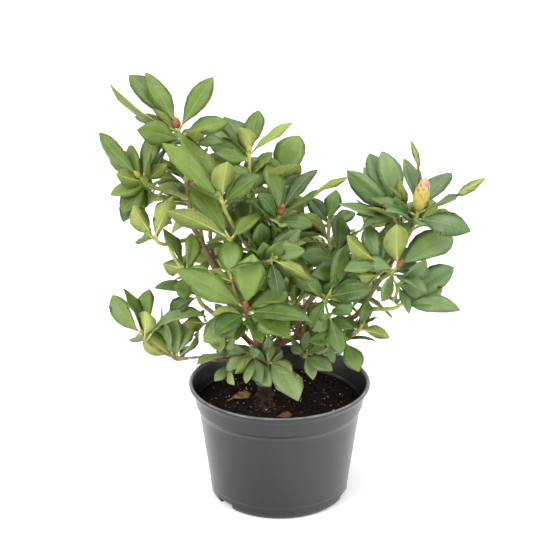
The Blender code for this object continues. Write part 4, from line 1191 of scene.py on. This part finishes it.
draw = random.Random("waves and shades")
for leaf in leaves:
    leaf["twist"] = draw.uniform(-0.5, 0.5)
    if draw.random() < TWISTED:
        leaf["twist"] = draw.choice((-1, 1)) * draw.uniform(0.8, 1.4)
    leaf["shade"] = draw.uniform(0, 1)
    if leaf["kind"].isupper():
        leaf["twist"] *= 0.3
    pose_as_seen(leaf, **seen_more.get(leaf["mass"], {}).get(leaf["hour"], {}))
    flatter = 1.0 if leaf["hour"] is None else FLATTER
    leaf["curl"] = draw.uniform(-0.02, 0.14) * (draw.random() < CURLED) * flatter
    leaf["roll"] = draw.uniform(0.04, 0.30)
    leaf["fold"] += draw.uniform(0, 0.25)
    leaf["wave"] = draw.uniform(0.05, 0.17)
    leaf["half"] *= WIDER
    leaf["pace"] = draw.uniform(9, 15)
    leaf["phase"] = draw.uniform(0, 6.3)

# The buds that no further leaf covers, where their middle is, and how near a leaf may pass behind and
# beside it
UNCOVERED = ("crest", "middle")
BUD_MIDDLE, BEHIND_BUD, BESIDE_BUD = 0.6, -0.008, 0.002


def hides_bud(leaf):
    """True for a leaf that wasn't read off and whose midrib passes close in front of a flower bud."""
    for name, shoot, line, axis in every_shoot:
        if leaf["hour"] is None and leaf["mass"] == name and shoot in UNCOVERED:
            bud = line[-1] + axis * BUD_MIDDLE * BUDS[shoot][0]
            along = np.clip((bud - leaf["root"]) @ leaf["chord"], 0, leaf["length"])
            gap = leaf["root"] + along * leaf["chord"] - bud
            ahead = gap @ NEAR
            if ahead > BEHIND_BUD and np.linalg.norm(gap - ahead * NEAR) < leaf["half"] + BESIDE_BUD:
                return True
    return False


shown = [leaf for leaf in leaves if not hides_bud(leaf)]
print(len(leaves) - len(shown), "leaves in front of a flower bud are left out")
for tint, upper in TINTS.items():
    group = [leaf for leaf in shown if leaf["tint"] == tint]
    rings, feet, tips = fine_leaves(group)
    obj = add_lofts(f"foliage_{tint}", rings, feet, tips,
                    (upper, underside, rib_above.material, rib_below.material), LEAF_FINISH)
    count, rows, columns = rings.shape[:3]
    across = np.broadcast_to(np.abs([share for share, layer in SECTION]), (count, rows, columns))
    along = np.broadcast_to(FINE_STATIONS[:, None], (count, rows, columns))
    ends = np.zeros((count, 2))
    paint(obj, "across", np.concatenate([across.reshape(count, -1), ends], 1))
    paint(obj, "along", np.concatenate([along.reshape(count, -1), ends + (0, 1)], 1))
    paint(obj, "shade", np.repeat([leaf["shade"] for leaf in group], rows * columns + 2))
    if tint != "young":
        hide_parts(*[name for name, row in MASSES.items() if row[3] == tint])

# %% [markdown]
# ## Twigs
# Young twigs are round, smooth and yellow-green; older ones near the pot are tan. They are the rule's
# own lines, drawn again with eight sides and sunk into the limb that they leave, and a little wider,
# but for the two low masses on the left, whose twigs are thin.

# %% Twigs
ROUND_ROWS, ROUND_SIDES = 14, 8
TWIG_GROW, TWIG_SUNK = 1.15, 0.0025
green_twig = mottled("green_twig", (168, 176, 88), 0.48, 90.0, {0.3: (138, 152, 66), 0.7: (190, 190, 104)})
tan_twig = mottled("tan_twig", (150, 122, 84), 0.65, 120.0, {0.3: (112, 84, 56), 0.7: (176, 150, 104)})
tan_twig.bump(tan_twig.noise(900.0, 3.0, (1, 1, 0.3)), 1.0, 0.0003)
TAN_MASSES = {"leaves_foot", "leaves_foot_right", "leaves_rim", "leaves_right_low", "leaves_face",
              "leaves_low_left"}
TWIG_WIDTH = {"leaves_low_left": 0.7, "leaves_rim": 0.8}


def round_twig(limb, wide):
    """A twig's line again with more rings, its first end carried back into what it grows from."""
    line, radii = limb[0], limb[1]
    back = line[0] - unit(line[1] - line[0]) * TWIG_SUNK
    fine = curve(np.vstack([back, line]), ROUND_ROWS)
    return tube((fine, wide * np.linspace(radii[0], radii[-1], ROUND_ROWS), ROUND_SIDES, None))


every_twig = [(name, twig) for name, rows in twigs.items() for shoot, twig in rows] + side_twigs
for label, finish, chosen in (("twigs_green", green_twig, False), ("twigs_tan", tan_twig, True)):
    rings = np.array([round_twig(limb, TWIG_WIDTH.get(name, TWIG_GROW)) for name, limb in every_twig
                      if (name in TAN_MASSES) == chosen])
    obj = add_lofts(label, rings, rings[:, 0].mean(1), rings[:, -1].mean(1), (finish.material,))
    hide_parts(*[name for name in MASSES if (name in TAN_MASSES) == chosen])

# %% [markdown]
# ## Bark
# The trunk and the boughs are thin, reddish brown and finely ridged, with low rings where old leaves
# have dropped. They are darker at the foot and paler where they are younger, higher up. The relief is a
# sum of waves round and along the limb, so it is real shape and not only shading, and the foot of the
# trunk widens in a few lobes.

# %% Bark
BARK_STEP, BARK_SIDES, BARK_SUNK = 0.0014, 22, 0.0030
RING_STEP, RING_WIDTH, RING_RISE = 0.026, 0.0012, 0.12
FLARE, FLARE_LOBES, FLARE_FADES = 0.16, 4, 0.007
bark = Finish("bark", tone(110, 76, 60), 0.78, 0.3)
bark_tone = bark.ramp(bark.noise(160.0, 4.0, (1, 1, 0.35)), (
    (0.30, tone(72, 50, 42)), (0.52, tone(120, 86, 70)), (0.72, tone(150, 118, 92))))
height = bark.add("ShaderNodeSeparateXYZ", Vector=bark.place()).outputs["Z"]
bark_tone = bark.blend(bark.span(height, 0.185, 0.235, 0.0, 0.55), bark_tone, tone(164, 140, 108))
bark.colour(bark.blend(bark.span(height, 0.135, 0.165, 0.75, 0.0), bark_tone, tone(44, 30, 24)))
bark.bump(bark.noise(700.0, 4.0, (1, 1, 0.3)), 1.0, 0.0005)


def bark_limb(name, limb):
    """A limb with relief: the radius times one plus waves of several counts round it that drift as
    they run along it, plus a low ring every thumb's width."""
    line, radii = limb[0], np.asarray(limb[1])
    rng = random.Random("bark of " + name)
    if name != "trunk":
        line = np.vstack([line[0] - unit(line[1] - line[0]) * BARK_SUNK, line])
        radii = np.concatenate([radii[:1], radii])
    length = np.linalg.norm(np.diff(line, axis=0), axis=1).sum()
    count = max(8, int(length / BARK_STEP))
    fine = curve(line, count)
    wide = np.interp(np.linspace(0, 1, count), np.linspace(0, 1, len(radii)), radii)
    rings = tube((fine, wide, BARK_SIDES, np.array((0, 0, 1.0)) if name == "trunk" else None))
    turn = 2 * np.pi * np.arange(BARK_SIDES)[None, :] / BARK_SIDES
    way = np.linspace(0, length, count)[:, None]
    a, b, c, d = (rng.uniform(0, 6.3) for k in range(4))
    relief = 0.045 * np.sin(5 * turn + 1.8 * np.sin(110 * way + a)) + 0.030 * np.sin(8 * turn - 260 * way + b)
    relief += (0.022 * np.sin(3 * turn + 900 * way + c)
               + 0.02 * np.sin(11 * turn + 1.5 * np.sin(420 * way + d)))
    from_ring = np.mod(way + 0.004 * a, RING_STEP) - RING_STEP / 2
    relief += RING_RISE * np.exp(-(from_ring / RING_WIDTH) ** 2)
    if name == "trunk":
        relief = relief + FLARE * np.cos(FLARE_LOBES * turn + a) * np.exp(-way / FLARE_FADES)
        relief[0] *= 0.5
    return fine[:, None] + (rings - fine[:, None]) * (1 + relief[..., None])


for label, names in (("bark_trunk", ["trunk"]), ("bark_boughs", list(BOUGHS))):
    points, faces, base = [], [], 0
    for name in names:
        rings = bark_limb(name, limbs[name])
        quads, ends = loft_faces(*rings.shape[:2])
        points += [rings.reshape(-1, 3), rings[0].mean(0)[None], rings[-1].mean(0)[None]]
        faces += (quads + base).tolist() + (ends + base).tolist()
        base += rings.shape[0] * rings.shape[1] + 2
    obj = new_object(label, np.concatenate(points), faces, (bark.material,))
    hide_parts(*names)

# %% [markdown]
# ## Buds
# A flower bud is a cone of long broad scales that overlap. Each scale is a short leaf that hugs the
# bud: it starts on the bud's surface, points along it and bends in over it. The big one at the top
# right is ochre, its upper scales pink towards their ends. Of the smaller ones four are red-brown and
# the others ochre, as are the tiny buds that end all other shoots.

# %% Buds
RUST_BUDS = ("crest", "middle", "right_front", "face")
TINY_BUD, LARGE_BUD, SWOLLEN = (0.007, 0.0024), 0.03, 1.12
LARGE_SCALES, SMALL_SCALES, SCALES_TO, SCALE_REACH, PINK_FROM = 26, 12, 0.56, 0.52, 0.38
bud_finish = {}
for name, low, high in (("ochre", (180, 158, 66), (208, 188, 94)), ("pink", (204, 156, 124), (228, 192, 164)),
                        ("rust", (118, 64, 40), (176, 120, 72))):
    made = mottled(f"bud_{name}", high, 0.55, 260.0, {0.3: low, 0.7: high})
    made.bump(made.noise(900.0), 1.0, 0.0003)
    bud_finish[name] = made.material


def bud_width(share):
    """How wide a bud is at a share of its length: quickly out to full width, then in to a blunt point."""
    return np.interp(share, (-0.05, 0.12, 0.34, 0.72, 0.92, 1.0), (0.45, 0.82, 1.0, 0.66, 0.32, 0.12))


def bud_scales(tip, axis, length, radius, tall):
    """Scales at the golden angle up a bud, as leaf rows: root on the bud, chord up its side."""
    rows = []
    for k in range(tall):
        share = SCALES_TO * (k / (tall - 1)) ** 0.9
        end = min(1.0, share + SCALE_REACH - 0.1 * share)
        out = outward(axis, k * GOLDEN_ANGLE)
        root = tip + axis * length * share + out * radius * bud_width(share) * 0.92
        chord = tip + axis * length * end + out * radius * bud_width(end) * 0.96 - root
        size = np.linalg.norm(chord)
        chord = chord / size
        rows.append({
            "root": root, "chord": chord, "face": unit(out - out @ chord * chord), "length": size,
            "half": radius * 0.82 * (1 - 0.3 * share), "bend": 0.45, "fold": -0.22, "twist": 0.0, "wave": 0.0,
            "pace": 1.0, "phase": 0.0, "curl": 0.0, "roll": 0.34, "share": share,
        })
    return rows


scales = {"ochre": [], "pink": [], "rust": []}
cores = {"ochre": [], "rust": []}
for name, shoot, line, axis in every_shoot:
    tip, (length, radius) = line[-1], BUDS.get(shoot, TINY_BUD)
    large = length > LARGE_BUD
    radius *= SWOLLEN if large or shoot in UNCOVERED else 1.0
    kind = "rust" if shoot in RUST_BUDS else "ochre"
    for scale in bud_scales(tip, axis, length, radius, LARGE_SCALES if large else SMALL_SCALES):
        scales["pink" if large and scale["share"] > PINK_FROM else kind].append(scale)
    shares = np.array((-0.05, 0.1, 0.34, 0.6, 0.8, 0.93))
    core = tip + axis * length * shares[:, None]
    cores[kind].append(tube((core, radius * 0.9 * bud_width(shares), 10, None)))
for kind, group in scales.items():
    rings, feet, tips = fine_leaves(group)
    rows = np.repeat(np.arange(len(FINE_STATIONS) - 1) > 3, 8).astype(int)
    obj = add_lofts(f"bud_scales_{kind}", rings, feet, tips,
                    (bud_finish["ochre" if kind == "pink" else kind], bud_finish[kind]),
                    (rows, np.repeat((0, 1), 8)))
for kind, group in cores.items():
    rings = np.array(group)
    first, last = rings[:, 0].mean(1), rings[:, -1].mean(1)
    obj = add_lofts(f"bud_cores_{kind}", rings, first, last + 0.1 * (last - first), (bud_finish[kind],))

# %% [markdown]
# ## Pot
# A thin-walled black pot, moulded in one piece: a rolled lip, a plain collar that ends in a ridge, a
# wall that tapers to a low step above the foot, and drain notches cut into the foot ring. It is a
# profile turned round the axis; in a notch the foot ring's lower points are lifted. The plastic has a
# thin gloss and faint upright streaks. Its colour is painted lighter towards the right side as painted
# light, and a pale painted highlight runs along the top of the lip.

# %% Pot profile
RIM, TOP, FOOT, RECESS, PAD = 0.1150, 0.1530, 0.0845, 0.0070, 0.0300
NOTCHES, NOTCH_WIDTH, NOTCH_EDGE, NOTCH_TOP = (218, 341, 99), 18.0, 0.12, 0.0086


def bow(centre, radius, start, end, count):
    """Points of an arc in the profile, from one angle to another in degrees."""
    turn = np.radians(np.linspace(start, end, count))
    return [(centre[0] + radius * math.cos(x), centre[1] + radius * math.sin(x)) for x in turn]


def stretch(first, last, count):
    """Points of a straight run, without its last one."""
    return [tuple(p) for p in np.linspace(first, last, count, endpoint=False)]


outer = stretch((0.0878, 0.0045), (0.0889, 0.0168), 4) + bow((0.0884, 0.0176), 0.0009, -60, 40, 4)
outer += stretch((0.0892, 0.0190), (0.1036, 0.1240), 12)
outer += bow((0.1052, 0.1262), 0.0015, -95, 20, 6)
outer += stretch((0.1068, 0.1275), (RIM - 0.0052, TOP - 0.0056), 6)
lip = bow((RIM - 0.0026, TOP - 0.0026), 0.0026, -75, 110, 12)
inner = [(RIM - 0.0046, TOP - 0.0012), (RIM - 0.0062, TOP - 0.0044)]
inner += stretch((0.1046, 0.1277), (0.1027, 0.1240), 2) + stretch((0.1027, 0.1240), (0.0850, 0.0095), 8)
under = [(PAD, 0.0), (PAD + 0.002, RECESS)] + stretch((PAD + 0.004, RECESS), (FOOT - 0.0045, RECESS), 4)
under += [(FOOT - 0.0045, RECESS), (FOOT - 0.0036, 0.0006), (FOOT - 0.0030, 0.0), (FOOT - 0.0006, 0.0),
          (FOOT + 0.0002, 0.0008)]
profile = [(0.0006, 0.0), (0.015, 0.0)] + under + outer + lip + inner + [(0.0850, 0.0095), (0.0006, 0.0095)]
profile = np.array(profile)
print("the pot's profile has", len(profile), "points")

# %% Pot
pot_plastic = Finish("pot_plastic", tone(36, 37, 37), 0.30, 0.50)
pot_plastic.shader.inputs["Coat Weight"].default_value = 0.25
pot_plastic.shader.inputs["Coat Roughness"].default_value = 0.12
streak = pot_plastic.noise(30.0, 3.0, (1.0, 1.0, 0.08))
sides = pot_plastic.add("ShaderNodeSeparateXYZ", Vector=pot_plastic.place((9.0, 9.0, 9.0)))
# Painted light: the base colour grows lighter towards +X, the pot's right side, over the real faint upright
# streaks
streaks_and_painted_right_light = pot_plastic.math("ADD", sides.outputs["X"], pot_plastic.math("MULTIPLY", streak, 0.6))
pot_tone = pot_plastic.ramp(streaks_and_painted_right_light, ((0.15, tone(14, 15, 15)), (0.85, tone(38, 41, 40))))
high = pot_plastic.add("ShaderNodeSeparateXYZ", Vector=pot_plastic.place()).outputs["Z"]
# Painted highlight: a pale line along the top of the lip, broken up by noise
painted_lip_highlight = pot_plastic.span(high, TOP - 0.0016, TOP - 0.0004, 0.0, 0.9)
painted_lip_highlight = pot_plastic.math("MULTIPLY", painted_lip_highlight, pot_plastic.noise(60.0, 4.0))
pot_plastic.colour(pot_plastic.blend(painted_lip_highlight, pot_tone, tone(176, 178, 176)))
pot_plastic.roughness(pot_plastic.noise(95.0, 6.0), 0.24, 0.38)
pot_plastic.bump(pot_plastic.noise(240.0, 3.0, (1, 1, 0.25)), 0.4, 0.00015)

edges = [degrees + side * (NOTCH_WIDTH / 2 + lean)
         for degrees in NOTCHES for side in (-1, 1) for lean in (-NOTCH_EDGE, NOTCH_EDGE)]
degrees = np.unique(np.concatenate([np.arange(0, 360, 1.5), np.mod(edges, 360)]))
turn = np.radians(degrees)
in_notch = np.any([np.abs(np.mod(degrees - at + 180, 360) - 180) < NOTCH_WIDTH / 2 for at in NOTCHES], axis=0)
radius, height = profile[:, 0][:, None], np.repeat(profile[:, 1][:, None], len(turn), 1)
on_foot = (radius > FOOT - 0.0044) & (radius < FOOT + 0.0040) & (height < NOTCH_TOP)
height = np.where(on_foot & in_notch[None], NOTCH_TOP, height)
pot_rings = np.stack([radius * np.cos(turn), radius * np.sin(turn), height], -1)[None]
pot = add_lofts("pot_shell", pot_rings, np.array([[0.0, 0.0, 0.0]]), np.array([[0.0, 0.0, 0.0095]]),
                (pot_plastic.material,))
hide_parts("pot")

# %% [markdown]
# ## Soil
# Potting mix is dark peat with crumbs of all sizes, white grains of perlite, slivers of bark and a
# lump of old roots in front of the trunk. The bed is the source's own surface with small mounds added;
# crumbs, grains and slivers are lumps that sit half sunk in it.

# %% Soil bed
TRUNK_FOOT = np.array(TRUNK[0][0])
SOIL_EDGE, SOIL_BED, SOIL_CROWN = 0.1225, 0.1262, 0.1300
SOIL_ROWS, SOIL_COLUMNS = 76, 220
EDGE_RADIUS, FLOOR_RADIUS, FLOOR = 0.10205, 0.08464, 0.00986
LEVEL_RADIUS, CROWN_RADIUS = 0.0145, 0.045
LUMP_AT, LUMP_WIDTH, LUMP_HEIGHT = (-0.018, -0.030), 0.011, 0.008
MOUNDS, MOUND_SIZES, MOUND_RISE = 900, (0.0012, 0.0040), 0.55


def soil_height(x, y):
    """The source's bed: level round the trunk, a lump of roots in front, shallow waves, low at the wall."""
    away = np.hypot(x - TRUNK_FOOT[0], y - TRUNK_FOOT[1])
    bed = SOIL_BED + (SOIL_CROWN - SOIL_BED) * (1 - ease(away, LEVEL_RADIUS, CROWN_RADIUS))
    bed = bed + 0.0010 * np.sin(90 * x + 1.0) * np.sin(110 * y) + 0.0006 * np.sin(210 * x - 160 * y)
    lump = np.hypot(x - LUMP_AT[0], y - LUMP_AT[1]) / LUMP_WIDTH
    bed = bed + LUMP_HEIGHT * np.exp(-0.5 * lump * lump)
    bed = SOIL_CROWN + (bed - SOIL_CROWN) * ease(away, LEVEL_RADIUS, 0.020)
    return bed + (SOIL_EDGE - bed) * ease(np.hypot(x, y), 0.082, 0.101)


grains = np.random.default_rng(11)
mounds = grains.uniform(-0.1, 0.1, (MOUNDS, 2))
mound_size = grains.uniform(*MOUND_SIZES, MOUNDS)


def crumbled_height(x, y):
    """The bed with mounds: each adds a low dome, and the highest dome at a point counts."""
    dome = np.zeros(np.shape(x))
    for centre, size in zip(mounds, mound_size):
        near = 1 - ((x - centre[0]) ** 2 + (y - centre[1]) ** 2) / size ** 2
        dome = np.maximum(dome, MOUND_RISE * size * np.sqrt(np.clip(near, 0, 1)))
    return soil_height(x, y) + dome * ease(EDGE_RADIUS - np.hypot(x, y), 0.0, 0.006)


share = np.linspace(0.02, 1, SOIL_ROWS)[:, None]
turn = 2 * np.pi * np.arange(SOIL_COLUMNS)[None] / SOIL_COLUMNS
x = TRUNK_FOOT[0] * (1 - share) + share * EDGE_RADIUS * np.cos(turn)
y = TRUNK_FOOT[1] * (1 - share) + share * EDGE_RADIUS * np.sin(turn)
top = np.stack([x, y, crumbled_height(x, y)], -1)
top[-1, :, 2] = SOIL_EDGE
low = np.full(SOIL_COLUMNS, FLOOR)
wall = np.stack([FLOOR_RADIUS * np.cos(turn[0]), FLOOR_RADIUS * np.sin(turn[0]), low], -1)
soil_rings = np.concatenate([wall[None], top[::-1]])[None]
soil = mottled("soil", (28, 21, 17), 0.95, 330.0,
               {0.30: (10, 8, 7), 0.55: (28, 21, 17), 0.80: (58, 42, 32)}, 6.0, 0.2)
soil.bump(soil.noise(900.0, 6.0), 1.0, 0.0012)
bed = add_lofts("soil_bed", soil_rings, np.array([[0.0, 0.0, FLOOR]]),
                np.array([[TRUNK_FOOT[0], TRUNK_FOOT[1], SOIL_CROWN]]), (soil.material,))
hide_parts("soil")

# %% [markdown]
# Crumbs, perlite and slivers share one shape: an uneven lump of four rings, stretched as needed. Their
# places are drawn at random over the bed, away from the trunk.

# %% Crumbs, perlite and slivers
SPREAD, UNEVEN_LUMP = 0.096, (0.72, 1.28)


def lumps(count, sizes, stretch_by, sunk, seed, region=None):
    """Uneven lumps on the soil: a sphere in rings whose radius is shaken at every point, then scaled
    along three axes and turned about the vertical."""
    rng = np.random.default_rng(seed)
    reach, angle = SPREAD * np.sqrt(rng.uniform(0.02, 1, count)), rng.uniform(0, 2 * np.pi, count)
    x, y = reach * np.cos(angle), reach * np.sin(angle)
    if region is not None:
        x, y = region[0] + rng.normal(0, region[2], count), region[1] + rng.normal(0, region[2], count)
    tilt, turn = np.radians((-55, -15, 25, 62))[:, None], 2 * np.pi * np.arange(7) / 7
    flat, rise = np.cos(tilt), np.repeat(np.sin(tilt), 7, 1)
    ball = np.stack([flat * np.cos(turn), flat * np.sin(turn), rise], -1)
    shape = ball[None] * rng.uniform(*UNEVEN_LUMP, (count, 4, 7, 1))
    size = rng.uniform(*sizes, count)[:, None, None, None] * np.array(stretch_by)
    shape = shape * size
    spin = rng.uniform(0, 2 * np.pi, count)[:, None, None]
    pitch = rng.uniform(-0.5, 0.5, count)[:, None, None]
    ahead = shape[..., 0] * np.cos(pitch) - shape[..., 2] * np.sin(pitch)
    up = shape[..., 0] * np.sin(pitch) + shape[..., 2] * np.cos(pitch)
    turned = np.stack([ahead * np.cos(spin) - shape[..., 1] * np.sin(spin),
                       ahead * np.sin(spin) + shape[..., 1] * np.cos(spin), up], -1)
    centre = np.stack([x, y, crumbled_height(x, y) + sunk * size[:, 0, 0, 2]], -1)
    rings = turned + centre[:, None, None]
    ends = np.array((0, 0, 1.0)) * size[:, 0, 0, 2:3]
    return rings, centre - ends * 0.95, centre + ends


crumb = mottled("soil_crumb", (34, 25, 20), 0.92, 500.0, {0.3: (14, 10, 8), 0.7: (54, 39, 30)}, 4.0, 0.2)
crumb.bump(crumb.noise(1500.0), 1.0, 0.0006)
perlite = mottled("perlite", (226, 222, 214), 0.85, 900.0, {0.35: (178, 170, 158), 0.6: (236, 233, 226)})
sliver = mottled("bark_sliver", (134, 90, 58), 0.80, 400.0, {0.3: (66, 42, 28), 0.7: (136, 92, 58)})
fibre = mottled("root_fibre", (96, 62, 42), 0.85, 600.0, {0.3: (40, 24, 17), 0.7: (98, 64, 44)})
for label, finish, shape in (
    ("soil_crumbs", crumb, lumps(1500, (0.0007, 0.0022), (1, 1, 0.8), 0.25, 3)),
    ("soil_perlite", perlite, lumps(150, (0.0003, 0.0010), (1, 1, 0.9), 0.5, 5)),
    ("soil_slivers", sliver, lumps(40, (0.0008, 0.0020), (1.9, 0.6, 0.35), 0.6, 7)),
    ("root_lump_fibres", fibre, lumps(150, (0.0010, 0.0020), (2.2, 0.5, 0.5), 0.2, 9,
                                      (-0.018, -0.031, 0.0065))),
):
    obj = add_lofts(label, *shape, (finish.material,))

# %% [markdown]
# Two dead things lie on the bed: a curled yellow-brown leaf on the left, and a flake of bark in front.
# Both are single leaves of the plant's own formula.

# %% Dead leaf and bark flake
def lying_leaf(name, place, toward, length, half, bend, fold, finish):
    """One leaf on the soil, its chord level and its upper face up."""
    root = np.array((*place, soil_height(*place) + 0.0035))
    chord, up = unit(np.array((*toward, 0.10))), np.array((0.15, -0.35, 1.0))
    face = unit(up - up @ chord * chord)
    leaf = {"root": root, "chord": chord, "face": face, "length": length, "half": half, "bend": bend,
            "fold": fold, "twist": 0.9, "wave": 0.25, "pace": 9.0, "phase": 1.0, "curl": 0.1, "roll": 0.1}
    obj = add_lofts(name, *fine_leaves([leaf]), (finish.material,))


dead_leaf = mottled("dead_leaf", (158, 124, 66), 0.70, 180.0, {0.35: (104, 74, 38), 0.65: (182, 148, 84)})
lying_leaf("dead_leaf", (-0.066, -0.012), (1.0, 0.35), 0.034, 0.0065, 0.8, 0.5, dead_leaf)
lying_leaf("bark_flake", (-0.004, -0.060), (1.0, 0.10), 0.020, 0.0055, 0.3, 0.2, sliver)
